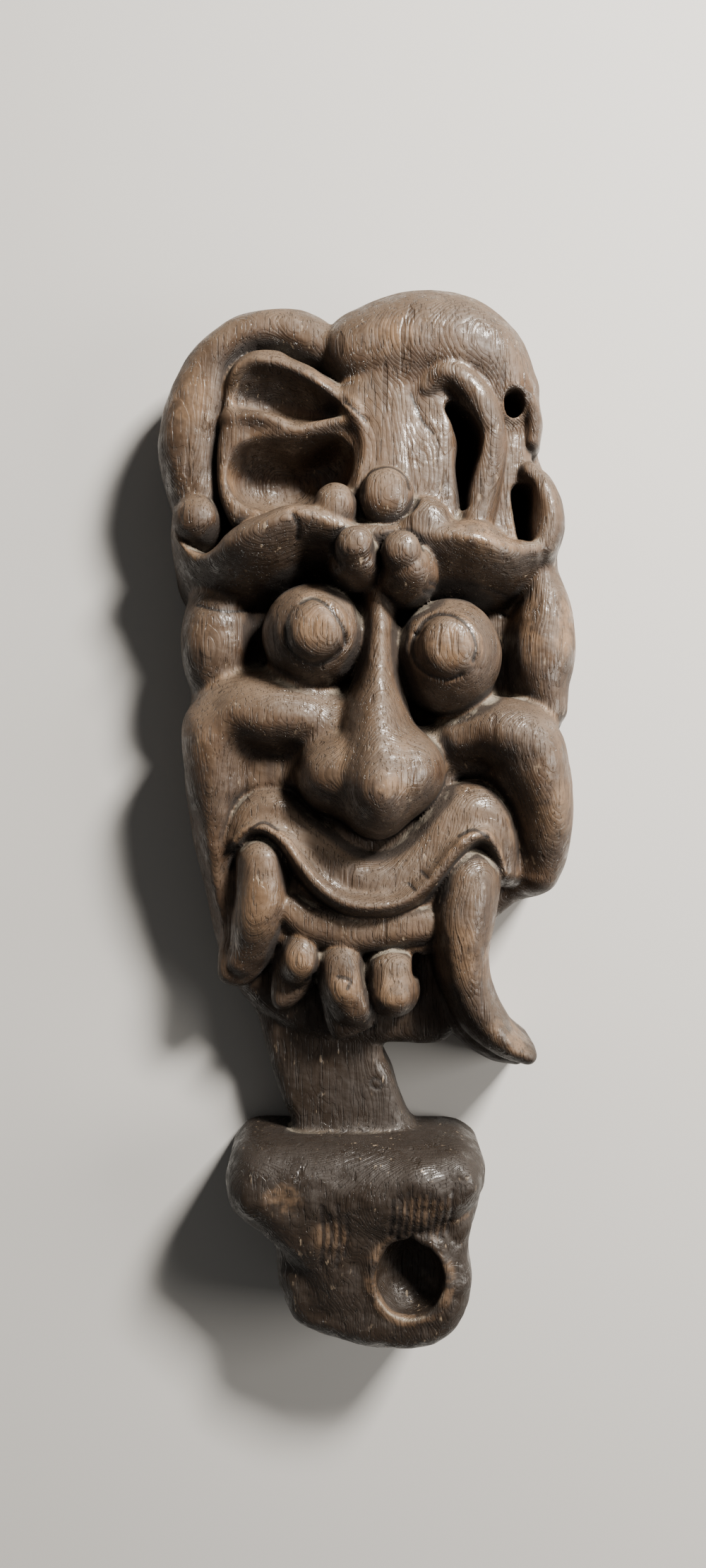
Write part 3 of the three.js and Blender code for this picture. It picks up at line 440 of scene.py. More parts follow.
def carve_face(c):
    """Eyes with raised pupils, temples, nose and cheeks."""
    # left eye
    c.knob([-21.5, 74, LEFT_EYE_CREST], radii=(22, 22), height=34, power=2.3, blend=0.8)
    # left pupil
    c.knob([-20, 74, LEFT_PUPIL_CREST], radii=(12.5, 13), height=9, power=2.6, blend=0.8)
    # right eye
    c.knob([33.5, 65.5, RIGHT_EYE_CREST], radii=(22, 24), height=34, power=2.3, blend=0.8)
    # right pupil
    c.knob([32.5, 67, RIGHT_PUPIL_CREST], radii=(12.5, 13), height=9, power=2.6, blend=0.8)
    # left temple
    c.knob([-63, 72.5, 47], radii=(15.5, 27.5), height=20, power=2.3, blend=6)
    # right temple
    c.ridge([(72, 103, 46, 7), (74, 88, 50, 12), (73.5, 69, 52, 14.5), (73, 55, 51, 13),
        (76.5, 43.5, 47, 7)], height=20, power=2.2, blend=4)
    # nose bridge
    c.ridge([(2.5, 95, 60, 7), (4.5, 80.5, 64, 9), (4.5, 66, 67, 9.5), (4, 53.5, 71, 11),
        (3.5, 40.5, 76, 15), (4, 29.5, 80, 17)], height=34, blend=3)
    # left nostril
    c.knob([-14, 17, 73], radii=(16, 17), height=34, power=2.3, blend=8)
    # right nostril
    c.knob([16.5, 18, 79], radii=(15.5, 17), height=38, power=2.3, blend=8)
    # nose tip
    c.knob([4, 12.5, NOSE_CREST], radii=(17.5, 22.5), height=46, power=2.3, blend=8)
    # floor of the hollow under the left cheek
    c.block([(-67.5, 45.5), (-14.5, 48.5), (-26.5, 13), (-56, 7.5), (-70.5, 7.5)
      ], top=47, edge=6, blend=8)
    # left cheek
    c.ridge([(-63.5, 35, 54, 12.5), (-54, 42.5, 60, 16), (-41, 44, 63, 17), (-27, 42.5, 62, 15.5),
        (-16.5, 40.5, 58, 12.5)], height=26, lean=(0, -0.15), power=2.1, blend=7)
    # left jaw line
    c.ridge([(-63.5, 35, 54, 11.5), (-63, 19, 55, 12.5), (-62.5, 2, 52, 11), (-62.5, -13, 48, 8.5),
        (-61.5, -30.5, 44, 5.5), (-58, -51.5, 40, 4)], height=24, power=2.1, blend=8)
    # floor of the hollow under the right cheek
    c.block([(23.5, 36.5), (64.5, 28), (70.5, -13), (58.5, -25), (53, 10.5), (29.5, 19)
      ], top=44, edge=4, blend=5)
    # right cheek
    c.ridge([(37, 32, 52, 10.5), (49.5, 34, 62, 15.5), (61.5, 29, 66, 18), (67, 16, 64, 17),
        (70.5, 2, 60, 14.5), (70.5, -14, 54, 13.5), (68.5, -24, 47, 11)
      ], height=28, lean=(0.12, 0), power=2.1, blend=5)


def carve_mouth(c):
    """Rolled lip, gum, three teeth and two fangs."""
    # floor of the groove above the lip
    c.block([(-35, 19), (-29, -1.5), (-6, -19.5), (17.5, -16.5), (35, 10.5), (35, 22)
      ], top=43, edge=3, blend=1)
    # lip
    c.ridge([(-59.5, -28.5, 42, 4.5), (-58, -16, 46, 6.5), (-53, -6, 50, 8.5), (-45.5, 0.5, 53, 11.5),
        (-36, 0.5, 54, 12.5), (-26.5, -9.5, 55, 12.5), (-15, -21, 56, 12.5), (0, -28, 57, 13.5),
        (14, -26, 57, 13.5), (26.5, -16, 56, 13.5), (35.5, -4, 56, 15), (45.5, -0.5, 56, 15.5),
        (53.5, -9.5, 53, 11.5), (58.5, -24, 48, 6.5)], height=24, power=2.4, blend=1.2)
    # lip rim
    c.ridge([(-53.5, -10.5, 52, 3.5), (-48.5, -5.5, 55, 4.5), (-41, -5, 58, 5), (-33.5, -10, 60, 5.5),
        (-26, -20.5, 61, 6), (-17.5, -29.5, 62, 6), (-7.5, -35, 63, 6.5), (4, -36, 63, 6.5),
        (15, -33.5, 62, 6.5), (25, -26, 62, 6), (33, -16.5, 62, 5.5), (39.5, -9.5, 62, 5.5),
        (47, -7.5, 60, 5), (52.5, -14, 56, 4.5), (56, -24, 50, 3)], height=24, blend=4)
    # jaw
    c.block([(-36, -43.5), (24, -43.5), (36, -73.5), (34.5, -95.5), (12, -97), (-24, -94.5),
        (-50.5, -76.5), (-56.5, -52.5)], top=JAW_TOP, edge=6, blend=5)
    # palate
    c.block([(-37, -23.5), (-14.5, -33), (11.5, -36), (29.5, -27.5), (35, -42), (26.5, -57), (0, -57),
        (-26, -53.5), (-40.5, -50.5)], top=PALATE_TOP, edge=4, tilt=(0.02, 0.06), blend=3)
    # gum
    c.ridge([(-32, -38, 52, 7), (-26, -42.5, 53, 8), (-17.5, -45.5, 54, 9), (-6, -47.5, 54, 9),
        (8.5, -46, 54, 9), (19.5, -44.5, 54, 8.5), (23, -44.5, 53, 8)], height=10, power=2.6, blend=1.5)
    # left tooth back
    c.block([(-36.5, -53), (-21.5, -53), (-21, -68.5), (-30, -79), (-38, -80.5), (-40, -72)
      ], top=44, edge=5, blend=0.6)
    # left tooth
    c.knob([-27.5, -58.5, 55], radii=(9, 12), height=18, power=2.5, blend=3)
    # middle tooth back
    c.block([(-19.5, -56), (-4, -57), (2.5, -83.5), (-1, -90), (-13.5, -93.5), (-20, -72)
      ], top=44, edge=5, blend=0.6)
    # middle tooth
    c.ridge([(-11, -60, 56, 9.5), (-9.5, -70.5, 58, 10.5), (-5.5, -78, 54, 9)
      ], height=20, power=2.4, blend=2.5)
    # right tooth
    c.ridge([(10, -63.5, 56, 11), (10.5, -72, 59, 12)], height=24, power=2.5, blend=0.6)
    # slot beside the teeth
    c.knob([20.5, -62, 32], radii=(2.5, 5.5), height=8, blend=1, cut=True)
    # left fang back
    c.block([(-59.5, -22.5), (-35.5, -25), (-36, -49), (-42, -63), (-51.5, -71), (-61, -69), (-62, -58),
        (-59.5, -46)], top=44, edge=6, blend=3)
    # left fang
    c.ridge([(-43, -18.5, 58, 12), (-43, -32, 60, 12), (-45, -44, 58, 11.5), (-48, -54, 53, 10.5),
        (-52, -61, 47, 8.5)], height=26, power=2.4, blend=1.2)
    # right fang side
    c.ridge([(32, -43, 38, 9), (33, -63.5, 36, 8.5), (38.5, -85, 34, 7.5), (54, -100, 32, 6.5),
        (64, -103, 32, 5)], height=20, blend=3)
    # right fang, its root a little fuller than the solid's
    c.ridge([(42, -26, 61, 14), (39.5, -41, 63, 14), (39, -56.5, 61, 12), (41.5, -70.5, 58, 11),
        (48.5, -84.5, 55, 10), (58, -94.5, 52, 7.5), (66.5, -99.5, 49, 4.5)
      ], height=28, power=2.4, blend=1)


def carve_base(c):
    """Neck and block, with a hollowed boss on the block."""
    # neck
    c.block([(-52.5, -71), (-47, -86.5), (-41.5, -106.5), (-36, -122.5), (-31, -134.5), (-30, -152.5),
        (20, -152.5), (20, -136.5), (15.5, -124.5), (11.5, -112), (7.5, -98.5), (24.5, -86.5), (12, -71)
      ], top=NECK_TOP, edge=6, crown=(3, -11, 30), blend=1.5)
    # block top
    c.block([(-48.5, -136), (-54.5, -139.5), (-58, -149.5), (-56, -160), (-50, -166.5), (-41, -171),
        (-23.5, -173.5), (3, -179), (20.5, -176.5), (33.5, -173), (42.5, -167), (47.5, -157),
        (48, -144.5), (43.5, -140), (23.5, -137), (-29.5, -136.5)
      ], top=BLOCK_TOP, edge=8, crown=(6, -7, 50), blend=0.01)
    # block face
    c.block([(-49.5, -140.5), (-34.5, -137), (22.5, -137.5), (41, -140.5), (42.5, -154.5), (35, -163),
        (20, -169.5), (2.5, -171.5), (-23, -165.5), (-40, -162.5), (-49.5, -157)
      ], top=60, edge=9, tilt=(0.05, -0.04), blend=8)
    # block crest
    c.ridge([(-23, -150, 61, 7.5), (-6, -152, 65, 10), (11, -152, 67, 11.5), (25, -149.5, 67, 11),
        (35.5, -146.5, 64, 8)], height=8, blend=8)
    # worn lump below the block
    c.ridge([(-45, -151.5, 58, 9), (-30.5, -160.5, 61, 13.5), (-18.5, -172.5, 60, 14.5),
        (-11, -190, 57, 12.5)], height=8, blend=10)
    # block foot
    c.block([(-42, -164.5), (-37.5, -179), (-36, -196.5), (-33, -204), (-26, -210.5), (-11.5, -214.5),
        (3, -217.5), (20.5, -217.5), (31.5, -213.5), (38, -206.5), (42, -192), (41, -176.5),
        (36.5, -158.5), (-35, -158.5)], top=FOOT_TOP, edge=9, tilt=(0.1, 0), blend=4)
    # boss round the hollow
    c.knob([18, -184, BOSS_CREST], radii=(20.5, 22), height=24, power=2.5, blend=5)
    # hollow in the boss
    c.knob([16.5, -186, 42], radii=(14, 16), height=17, lean=(0.12, -0.15), power=2.4, blend=3,
           cut=True)


def carve_lines(c):
    """Incised lines round the pupils and balls and in the brows, and small cracks, nicks and chips."""
    # ring round the left pupil, above
    c.groove([(-26.5, 84), (-22, 86), (-17, 83.5), (-13, 79), (-10, 73.5), (-9, 68)], 1, 1.3)
    # ring round the left pupil, below
    c.groove([(-32, 74), (-31.5, 68.5), (-27.5, 63), (-21, 60.5), (-14, 62.5), (-10.5, 66)], 1.3, 0.8)
    # ring round the right pupil, above
    c.groove([(19.5, 72.5), (22.5, 77.5), (28, 80), (34.5, 78), (39.5, 73.5), (42, 67), (41, 61)
      ], 1.1, 1.3)
    # ring round the right pupil, below
    c.groove([(19, 72.5), (17.5, 67), (19.5, 60.5), (24.5, 56), (31, 54), (36.5, 56)], 1, 1.1)
    # rim of the left inner ball
    c.groove([(-10.5, 98.5), (-13, 103), (-13, 108.5), (-9.5, 112.5), (-5, 113.5)], 0.9, 0.9)
    # rim of the right inner ball
    c.groove([(5, 98.5), (4.5, 105), (7.5, 110.5), (13.5, 112), (19, 109.5), (21.5, 104)], 0.9, 0.8)
    # rim of the middle ball
    c.groove([(-2, 128), (-1, 134), (3.5, 137.5), (9.5, 138.5), (15, 135), (16.5, 129.5)], 0.9, 0.7)
    # notch in the left brow
    c.groove([(-29.5, 118.5), (-27.5, 114.5), (-28, 110)], 1, 1.2)
    # crack over the middle ball
    c.groove([(17.5, 170), (20, 163.5), (22.5, 158.5), (26.5, 154)], 0.8, 0.9)
    # crack beside the panel
    c.groove([(-9, 167.5), (-5.5, 164), (-0.5, 159.5)], 0.8, 0.8)
    # knot in the neck
    c.groove([(1.5, -114), (3.5, -112), (6.5, -114.5), (4.5, -116.5), (1.5, -115)], 0.9, 0.6)
    # nick in the lip
    c.groove([(21.5, -22), (24, -24.5)], 0.9, 0.6)
    # second nick in the lip
    c.groove([(16.5, -27), (19, -29.5)], 0.9, 0.6)
    # stripe under the right brow
    c.groove([(22, 89), (33, 90), (47, 88.5), (60, 84)], 0.9, 0.5)
    # second stripe under the right brow
    c.groove([(24.5, 92), (36, 94), (49.5, 92.5), (63.5, 89)], 0.9, 0.5)
    # stripe under the left brow
    c.groove([(-70.5, 87), (-56.5, 84), (-41.5, 90), (-28.5, 98)], 0.9, 0.5)
    # mark across the upper lip, left
    c.groove([(-47.5, -5.5), (-42, -2.5), (-36, -5.5)], 0.9, 0.5)
    # mark across the upper lip, right
    c.groove([(36.5, -8), (42.5, -5.5), (48.5, -8.5)], 0.9, 0.5)
    # chip on the middle tooth
    c.groove([(-12, -64.5), (-7, -66), (-8, -69.5)], 1.1, 0.7)
    # chip on the left tooth
    c.groove([(-25, -67.5), (-22, -65.5)], 1.2, 0.9)
    # fold in the chin
    c.groove([(-14, -94.5), (-6, -92), (3, -89)], 1.1, 0.8)


def carve_tool_marks(c):
    """Chisel marks down the front of the block, and split wood to the left of them."""
    for n in range(CHISEL_MARKS):
        x = FIRST_MARK_X + MARK_STEP * n
        top = MARK_TOP + 1.5 * (n % 3)
        foot = MARK_FOOT - 2 * (n % 2)
        c.groove([(x, top), (x - 0.5, -159.3), (x - 1.5, foot)], 0.9, 0.9)
    for n in range(SPLITS):
        x = FIRST_SPLIT_X + SPLIT_STEP * n
        top = SPLIT_TOP - 4 * (n % 2)
        foot = SPLIT_FOOT + 5 * (n % 2)
        c.groove([(x, top), (x + 1, -168), (x - 0.5, foot)], 1.1, 0.8)


def sample(c, points):
    """The field at any points, by straight blending between grid points."""
    at = (points - c.low) / c.pitch
    base = np.clip(np.floor(at).astype(int), 0, np.array(c.field.shape) - 2)
    t = at - base
    value = np.zeros(len(points))
    for corner in np.ndindex(2, 2, 2):
        weight = np.prod(np.where(corner, t, 1 - t), axis=1)
        i, j, k = (base + corner).T
        value += weight * c.field[i, j, k]
    return value


def slope_of(c, points):
    """The outward slope of the field at any points."""
    step = SLOPE_STEP * c.pitch
    columns = []
    for axis in range(3):
        shift = np.zeros(3)
        shift[axis] = step
        columns.append(sample(c, points + shift) - sample(c, points - shift))
    return np.stack(columns, axis=1) / (2 * step)


def points_in_cells(c, crossed):
    """One point in each crossed cell: the middle of the places where its edges meet the surface."""
    total = np.zeros((len(crossed), 3))
    count = np.zeros(len(crossed))
    for axis in range(3):
        for u, v in np.ndindex(2, 2):
            start = np.insert([u, v], axis, 0)
            end = np.insert([u, v], axis, 1)
            a = c.field[tuple((crossed + start).T)]
            b = c.field[tuple((crossed + end).T)]
            met = (a < 0) != (b < 0)
            t = np.where(met, a / np.where(met, a - b, 1), 0)
            total += np.where(met[:, None], start + t[:, None] * (end - start), 0)
            count += met
    return c.low + c.pitch * (crossed + total / count[:, None])


def skin(c):
    """The surface of the carving: one point in each cell that it crosses, joined by four-sided faces."""
    inside = c.field < 0
    cells = tuple(n - 1 for n in c.field.shape)
    filled = np.zeros(cells, np.int8)
    for i, j, k in np.ndindex(2, 2, 2):
        filled += inside[i:i + cells[0], j:j + cells[1], k:k + cells[2]]
    crossed = np.argwhere((filled > 0) & (filled < 8))
    number = np.full(cells, -1, np.int64)
    number[tuple(crossed.T)] = np.arange(len(crossed))
    faces = []
    for axis in range(3):
        u, v = [n for n in range(3) if n != axis]
        first = np.moveaxis(inside, axis, 0)[:-1]
        second = np.moveaxis(inside, axis, 0)[1:]
        edges = np.argwhere(np.moveaxis(first != second, 0, axis))
        outward = inside[tuple(edges.T)]
        ring = []
        for du, dv in ((0, 0), (1, 0), (1, 1), (0, 1)):
            cell = edges.copy()
            cell[:, u] -= du
            cell[:, v] -= dv
            ring.append(number[tuple(cell.T)])
        ring = np.stack(ring, axis=1)
        turn = outward if axis != 1 else ~outward
        ring[~turn] = ring[~turn][:, ::-1]
        faces.append(ring)
    return points_in_cells(c, crossed), np.vstack(faces)


def noise(points, scale, seed):
    """Smooth values from -1 to 1, the same on every run, with features of the given size."""
    at = points / scale
    base = np.floor(at).astype(np.int64)
    t = at - base
    t = t * t * (3 - 2 * t)
    value = np.zeros(len(points))
    for corner in np.ndindex(2, 2, 2):
        # Each grid point's value is its place, scrambled with large primes
        i, j, k = (base + corner).T
        mixed = (i * 73856093) ^ (j * 19349663) ^ (k * 83492791) ^ (seed * 2654435761)
        mixed = (mixed ^ (mixed >> 13)) * 1274126177
        shade = ((mixed ^ (mixed >> 16)) & 0xFFFF) / 32767.5 - 1
        value += np.prod(np.where(corner, t, 1 - t), axis=1) * shade
    return value


def fine_mesh(c):
    """The carving as a mesh object, thinned to the triangles that it may have."""
    points, faces = skin(c)
    mesh = bpy.data.meshes.new("carving")
    mesh.from_pydata(points.tolist(), [], faces.tolist())
    mesh.update()
    piece = bpy.data.objects.new("mask_carving", mesh)
    bpy.context.scene.collection.objects.link(piece)
    triangles = 2 * len(faces)
    if triangles > MOST_TRIANGLES:
        thinner = piece.modifiers.new("thinner", "DECIMATE")
        thinner.ratio = MOST_TRIANGLES / triangles
        bpy.context.view_layer.update()
        seen = piece.evaluated_get(bpy.context.evaluated_depsgraph_get())
        piece.data = bpy.data.meshes.new_from_object(seen)
        piece.modifiers.clear()
    return piece


def places_of(mesh):
    """The mesh's points as an array."""
    places = np.empty(len(mesh.vertices) * 3)
    mesh.vertices.foreach_get("co", places)
    return places.reshape(-1, 3)


def settle(c, places):
    """Moves the points onto the surface of the field, and gives their normals."""
    for _ in range(SETTLE_ROUNDS):
        slope = slope_of(c, places)
        squared = np.maximum((slope**2).sum(axis=1), LEAST_SLOPE**2)
        move = np.clip(sample(c, places) / squared, -LONGEST_MOVE, LONGEST_MOVE)
        places = places - move[:, None] * slope
    slope = slope_of(c, places)
    return places, slope / np.maximum(np.linalg.norm(slope, axis=1), TINY)[:, None]


def closeness(c, places, normals, distance):
    """How near wood is on the outer side: 0 over a flat face, more in a hollow or crease of that width."""
    return np.clip(1 - sample(c, places + normals * distance) / distance, 0, 1)


def sharpness(c, places, normals, distance):
    """How little wood is behind the surface: 0 under a flat face, more under an edge or crest."""
    return np.clip(1 + sample(c, places - normals * distance) / distance, 0, 1)


def wear(c, places, normals):
    """How worn each point is: on sharp edges and crests, and at the places that were rubbed most."""
    worn = sharpness(c, places, normals, WORN_DEPTH)
    for x, y, radius in WORN_PLACES:
        away = np.hypot(places[:, 0] - x, places[:, 1] - y) / radius
        worn = np.maximum(worn, WORN_SHARE * np.exp(-away**2))
    return worn


def cut_lines(c, places):
    """How near each point is to an incised line: 1 in it, 0 away from it."""
    value = np.zeros(len(places))
    for curve, width in c.grooves:
        low = curve[:, :2].min(axis=0) - LINE_REACH * width
        high = curve[:, :2].max(axis=0) + LINE_REACH * width
        some = np.flatnonzero(((places[:, :2] > low) & (places[:, :2] < high)).all(axis=1))
        dx, dy = c.nearest(curve, places[some, 0], places[some, 1])[:2]
        value[some] = np.maximum(value[some], np.exp(-(dx**2 + dy**2) / width**2))
    return value


def hand_cuts(places):
    """How far the knife left each point above or below the smooth form."""
    rise = np.clip(places[:, 2] / EVEN_EDGE, 0, 1)
    rough = 1 + BASE_ROUGHER * np.clip((BASE_FROM - places[:, 1]) / BASE_FADE, 0, 1)
    return rise * rough * sum(depth * noise(places, size, seed) for depth, size, seed in CUTS)


def finish_surface(c, piece):
    """Settles the mesh on the field, roughens it as a knife leaves it, and stores its wear and the creases,
    hollows and incised lines that the dirt and painted shade follow.
    """
    mesh = piece.data
    places, normals = settle(c, places_of(mesh))
    shades = {
        "crease": closeness(c, places, normals, CREASE_WIDTH),
        "hollow": closeness(c, places, normals, HOLLOW_WIDTH),
        "worn": wear(c, places, normals),
        "line": cut_lines(c, places),
    }
    places = places + normals * hand_cuts(places)[:, None]
    places[:, 2] = np.maximum(places[:, 2], 0)
    mesh.vertices.foreach_set("co", (places * MM).ravel())
    for name, values in shades.items():
        layer = mesh.attributes.new(name, "FLOAT", "POINT")
        layer.data.foreach_set("value", values.astype(np.float32))
    mesh.polygons.foreach_set("use_smooth", [True] * len(mesh.polygons))
    mesh.update()


class Shader:
    """Small helper that adds nodes to a material and joins them."""

    def __init__(self, name):
        self.material = bpy.data.materials.new(name)
        self.material.use_nodes = True
        self.tree = self.material.node_tree
        self.tree.nodes.clear()

    def put(self, slot, value):
        """Sets an input to a value, or joins it to a socket."""
        if isinstance(value, bpy.types.NodeSocket):
            self.tree.links.new(value, slot)
        else:
            slot.default_value = value

    def node(self, kind, values=(), settings=(), **inputs):
        """A node of a kind: its first inputs in order, its settings, and its other inputs by name."""
        node = self.tree.nodes.new(kind)
        for key, value in dict(settings).items():
            setattr(node, key, value)
        for slot, value in zip(node.inputs, values):
            self.put(slot, value)
        for key, value in inputs.items():
            self.put(node.inputs[key.replace("_", " ")], value)
        return node

    def math(self, operation, *values):
        """The result of a sum on sockets or numbers."""
        return self.node("ShaderNodeMath", values, {"operation": operation}).outputs[0]

    def vector(self, operation, *values):
        """The node of a sum on vectors."""
        return self.node("ShaderNodeVectorMath", values, {"operation": operation})

    def between(self, value, low, high, to_low=0.0, to_high=1.0):
        """The value's place between two limits, eased."""
        limits = {"From_Min": low, "From_Max": high, "To_Min": to_low, "To_Max": to_high}
        eased = {"interpolation_type": "SMOOTHSTEP"}
        return self.node("ShaderNodeMapRange", (value,), eased, **limits).outputs[0]

    def mix(self, factor, a, b):
        """Two colours mixed."""
        node = self.node("ShaderNodeMix", settings={"data_type": "RGBA"})
        slots = {slot.identifier: slot for slot in (*node.inputs, *node.outputs)}
        for name, value in (("Factor_Float", factor), ("A_Color", a), ("B_Color", b)):
            self.put(slots[name], value)
        return slots["Result_Color"]

    def cover(self, under, name, where, colour):
        """A colour laid over another where a shade says, as strongly as the named coat covers."""
        return self.mix(self.math("MULTIPLY", where, COVER[name]), under, colour)

    def attribute(self, name):
        """A number stored on the mesh."""
        return self.node("ShaderNodeAttribute", settings={"attribute_name": name}).outputs["Fac"]

    def cloud(self, place, name):
        """One of the soft random shades, stretched along the grain."""
        scale, detail, roughness, along = CLOUDS[name]
        if along != 1:
            place = self.vector("MULTIPLY", place, (1, along, 1)).outputs[0]
        inputs = {"Scale": scale, "Detail": detail, "Roughness": roughness}
        return self.node("ShaderNodeTexNoise", Vector=place, **inputs).outputs["Fac"]


def growth_rings(s, place):
    """Dark late wood of the growth rings, and finer lines between them."""
    from_pith = s.vector("MULTIPLY_ADD", place, (1, TAPER, 1), FROM_PITH).outputs[0]
    radius = s.vector("LENGTH", from_pith).outputs["Value"]
    radius = s.math("MULTIPLY_ADD", s.cloud(place, "wander"), RING_WANDER, radius)
    radius = s.math("MULTIPLY_ADD", s.cloud(place, "flutter"), RING_FLUTTER, radius)
    lines = []
    for spacing in RING_SPACINGS:
        phase = s.math("FRACT", s.math("DIVIDE", radius, spacing))
        slow_rise = s.between(phase, 0.40, 0.92)
        quick_fall = s.between(phase, 1.0, 0.94)
        lines.append(s.math("MULTIPLY", slow_rise, quick_fall))
    return lines


def carved_wood():
    """Old waxed wood: grain, worn brown crests, a grey-brown film above that is partly painted light,
    painted shade below and on the downward sides, dirt with painted shade in the hollows, and painted glints
    on scratches.
    """
    s = Shader("carved_wood")
    place = s.node("ShaderNodeTexCoord").outputs["Object"]
    facing = s.node("ShaderNodeSeparateXYZ", (s.node("ShaderNodeNewGeometry").outputs["Normal"],))
    up, out = facing.outputs["Y"], facing.outputs["Z"]
    along = s.node("ShaderNodeSeparateXYZ", (place,)).outputs["Y"]
    crease, hollow, worn, line = (s.attribute(name) for name in ("crease", "hollow", "worn", "line"))

    names = ("blotch", "patch", "speck", "streak", "facets")
    blotch, patch, speck, streak, facets = (s.cloud(place, name) for name in names)
    pore = s.between(s.cloud(place, "pore"), 0.57, 0.70)
    gloss = s.between(s.cloud(place, "gloss"), 0.46, 0.62)
    split = s.between(s.cloud(place, "split"), 0.64, 0.71)
    scratch_glint = s.between(s.cloud(place, "scratch_glint"), 0.66, 0.72)
    rings, fine_rings = growth_rings(s, place)
    rings = s.math("MULTIPLY", rings, s.between(patch, 0.36, 0.66))

    # The wood under its coats: warm brown, streaked along the grain
    wood = s.mix(s.between(blotch, 0.3, 0.7), WOOD_DARK, WOOD_WARM)
    wood = s.cover(wood, "streak", s.between(streak, 0.40, 0.75), WOOD_PALE)

    # A grey-brown film of wax and dust on the upper sides, partly real film and partly painted light: it is
    # laid lighter on the sides that face up and out, towards the lamp
    lift = s.math("MULTIPLY_ADD", up, 0.80, s.math("MULTIPLY", out, 0.42))
    lift = s.math("ADD", lift, s.math("MULTIPLY_ADD", patch, 0.7, -0.35))
    film_and_painted_light = s.between(lift, 0.0, 0.85)
    film_and_painted_light = s.math("MULTIPLY", film_and_painted_light, s.between(speck, 0.15, 0.5, 0.75, 1.0))
    film_and_painted_light_colour = s.mix(s.between(blotch, 0.35, 0.65), FILM_AND_PAINTED_LIGHT_DARK, FILM_AND_PAINTED_LIGHT_PALE)
    colour = s.cover(wood, "film_and_painted_light", film_and_painted_light, film_and_painted_light_colour)

    # Crests rubbed back to the warm wood, less so on the base
    base = s.between(along, PAINTED_SHADE_FROM, PAINTED_SHADE_FULL)
    rubbed = s.math("MULTIPLY", s.between(worn, 0.10, 0.50), s.between(patch, 0.40, 0.58))
    rubbed = s.math("MULTIPLY", rubbed, s.math("MULTIPLY_ADD", base, -0.45, 1.0))
    colour = s.cover(colour, "rubbed", rubbed, WOOD_RUBBED)
    colour = s.cover(colour, "rings", rings, WOOD_DARK)
    colour = s.cover(colour, "split", split, WOOD_DARK)

    # Painted shade: darker on the neck and base, where less light reaches, and on what faces down the mask,
    # away from the lamp
    base = s.math("MULTIPLY", base, s.between(rubbed, 0.6, 0.0, 0.30, 1.0))
    colour = s.cover(colour, "base", base, PAINTED_SHADE)
    shade = s.between(s.math("MULTIPLY_ADD", patch, -0.3, up), 0.0, -0.75)
    colour = s.cover(colour, "shade", shade, PAINTED_SHADE)

    # Dirt and painted shade in the hollows and creases, with pale dust along those that face up
    dirt_and_shade = s.math("MAXIMUM", s.between(crease, 0.30, 0.85), s.between(hollow, 0.50, 1.0))
    colour = s.cover(colour, "dirt_and_shade", dirt_and_shade, DIRT_AND_SHADE)
    dust = s.math("MULTIPLY", s.between(crease, 0.22, 0.5), s.between(up, 0.0, 0.6))
    dust = s.math("MULTIPLY", dust, s.between(patch, 0.42, 0.6))
    colour = s.cover(colour, "dust", dust, DUST)
    colour = s.cover(colour, "pore", pore, DIRT_AND_SHADE)
    # The incised lines darkened with dirt and painted shade
    colour = s.cover(colour, "line", s.between(line, 0.35, 0.85), DIRT_AND_SHADE)
    # Pale flecks on scratches in the waxed spots, painted glints
    colour = s.cover(colour, "scratch_glint", s.math("MULTIPLY", scratch_glint, gloss), SCRATCH_GLINT)

    # Shiny where rubbed or waxed, duller under the film and specks, dull in the dirt
    roughness = BARE_ROUGHNESS
    specked = s.between(speck, 0.3, 0.7)
    for coat, change in ((film_and_painted_light, 0.10), (rubbed, -0.08), (gloss, -0.18), (specked, 0.12), (dirt_and_shade, 0.3)):
        roughness = s.math("MULTIPLY_ADD", coat, change, roughness)

    # Grain: sunken rings, pores and splits, raised streaks and specks, over the facets of the knife
    grain = s.math("MULTIPLY", fine_rings, -0.30)
    cracks = s.math("MAXIMUM", pore, split)
    for part, height in ((rings, -0.4), (cracks, -0.9), (streak, 0.7), (speck, 0.5)):
        grain = s.math("MULTIPLY_ADD", part, height, grain)
    grain_bump = s.node("ShaderNodeBump", Height=grain, Distance=GRAIN_DEPTH, Strength=0.8)
    bump = s.node("ShaderNodeBump", Height=facets, Distance=FACET_DEPTH, Strength=0.5,
                  Normal=grain_bump.outputs["Normal"])
    shader = s.node("ShaderNodeBsdfPrincipled", Base_Color=colour, Roughness=roughness,
                    Coat_Weight=s.math("MULTIPLY", gloss, WAX), Coat_Roughness=WAX_ROUGHNESS,
                    Normal=bump.outputs["Normal"], Coat_Normal=bump.outputs["Normal"])
    s.node("ShaderNodeOutputMaterial", Surface=shader.outputs["BSDF"])
    return s.material


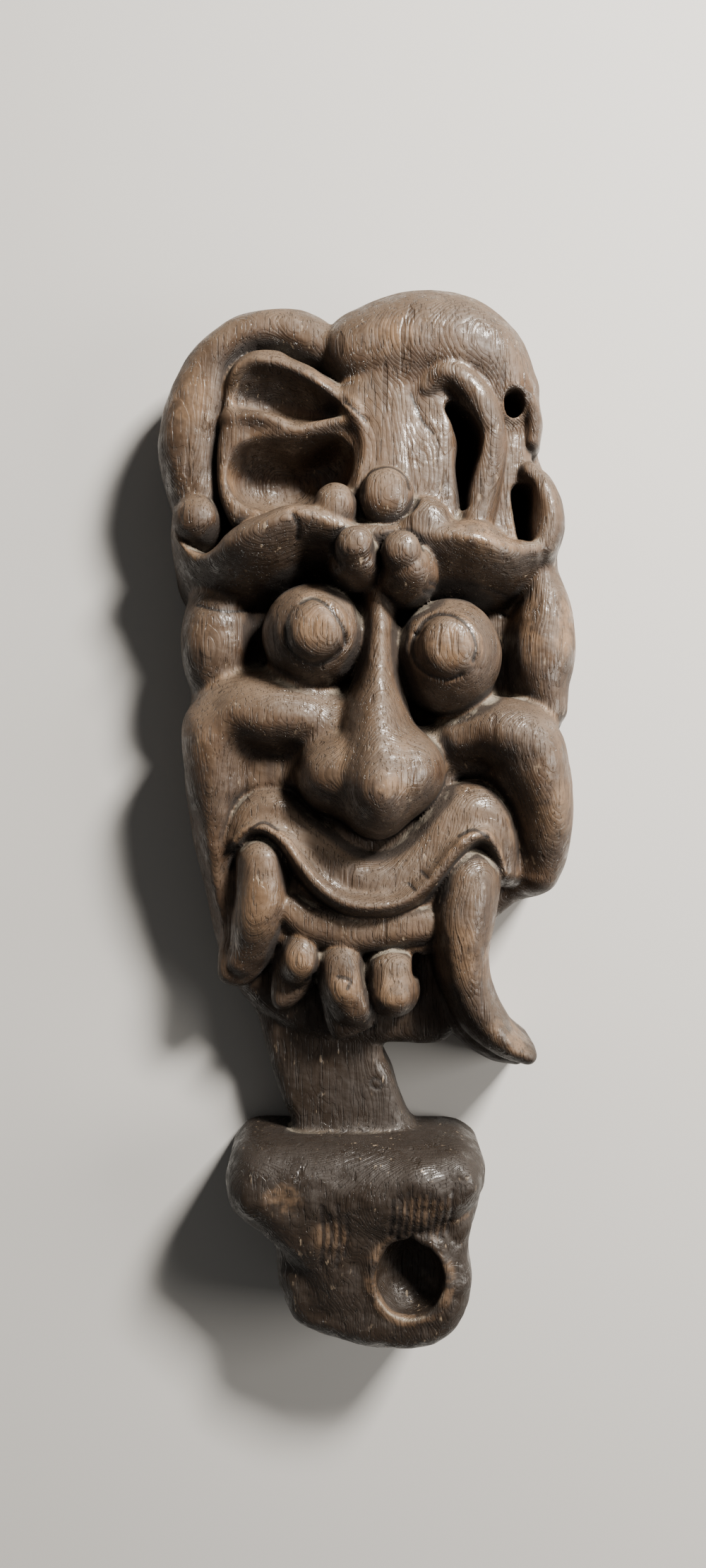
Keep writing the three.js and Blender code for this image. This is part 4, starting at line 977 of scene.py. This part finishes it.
def pale_floor():
    """A plain matt floor under the mask."""
    corners = [(FLOOR_REACH * x, FLOOR_REACH * y, 0) for x, y in ((-1, -1), (1, -1), (1, 1), (-1, 1))]
    mesh = bpy.data.meshes.new("floor")
    mesh.from_pydata(corners, [], [(0, 1, 2, 3)])
    floor = bpy.data.objects.new("floor", mesh)
    bpy.context.scene.collection.objects.link(floor)
    s = Shader("pale_floor")
    shader = s.node("ShaderNodeBsdfPrincipled", Base_Color=FLOOR_COLOUR, Roughness=0.8)
    s.node("ShaderNodeOutputMaterial", Surface=shader.outputs["BSDF"])
    mesh.materials.append(s.material)


def soft_light(name, place, target, size, power):
    """A square lamp that points at a target."""
    data = bpy.data.lights.new(name, "AREA")
    data.size = size
    data.energy = power
    data.color = LAMP_COLOUR
    lamp = bpy.data.objects.new(name, data)
    lamp.location = place
    lamp.rotation_euler = (Vector(target) - Vector(place)).to_track_quat("-Z", "Y").to_euler()
    bpy.context.scene.collection.objects.link(lamp)


def studio():
    """A soft lamp beyond the crown to the right, a weak one at the right side, and a pale sky."""
    soft_light("key", **KEY_LAMP)
    soft_light("fill", **FILL_LAMP)
    world = bpy.data.worlds.new("sky")
    world.use_nodes = True
    background = world.node_tree.nodes["Background"]
    background.inputs["Color"].default_value = SKY_COLOUR
    background.inputs["Strength"].default_value = SKY_STRENGTH
    bpy.context.scene.world = world


def camera_above():
    """The camera looks straight down on the mask, with the crown at the top of the picture."""
    data = bpy.data.cameras.new("camera")
    data.sensor_width = SENSOR
    data.lens = SENSOR * FOCAL_PIXELS / PICTURE_HEIGHT
    camera = bpy.data.objects.new("camera", data)
    camera.location = [MM * v for v in CAMERA_AT]
    bpy.context.scene.collection.objects.link(camera)
    bpy.context.scene.camera = camera


def carved_mask():
    """The whole mask, carved form by form."""
    c = Carving(GRID_LOW, GRID_HIGH, PITCH)
    for carve in (carve_head, carve_crest, carve_brows, carve_locks, carve_face, carve_mouth, carve_base):
        carve(c)
    carve_lines(c)
    carve_tool_marks(c)
    c.flatten_back()
    piece = fine_mesh(c)
    finish_surface(c, piece)
    piece.data.materials.clear()
    piece.data.materials.append(carved_wood())
    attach(piece, "root")
    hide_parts("carved_mask")


camera_above()
studio()
pale_floor()
carved_mask()
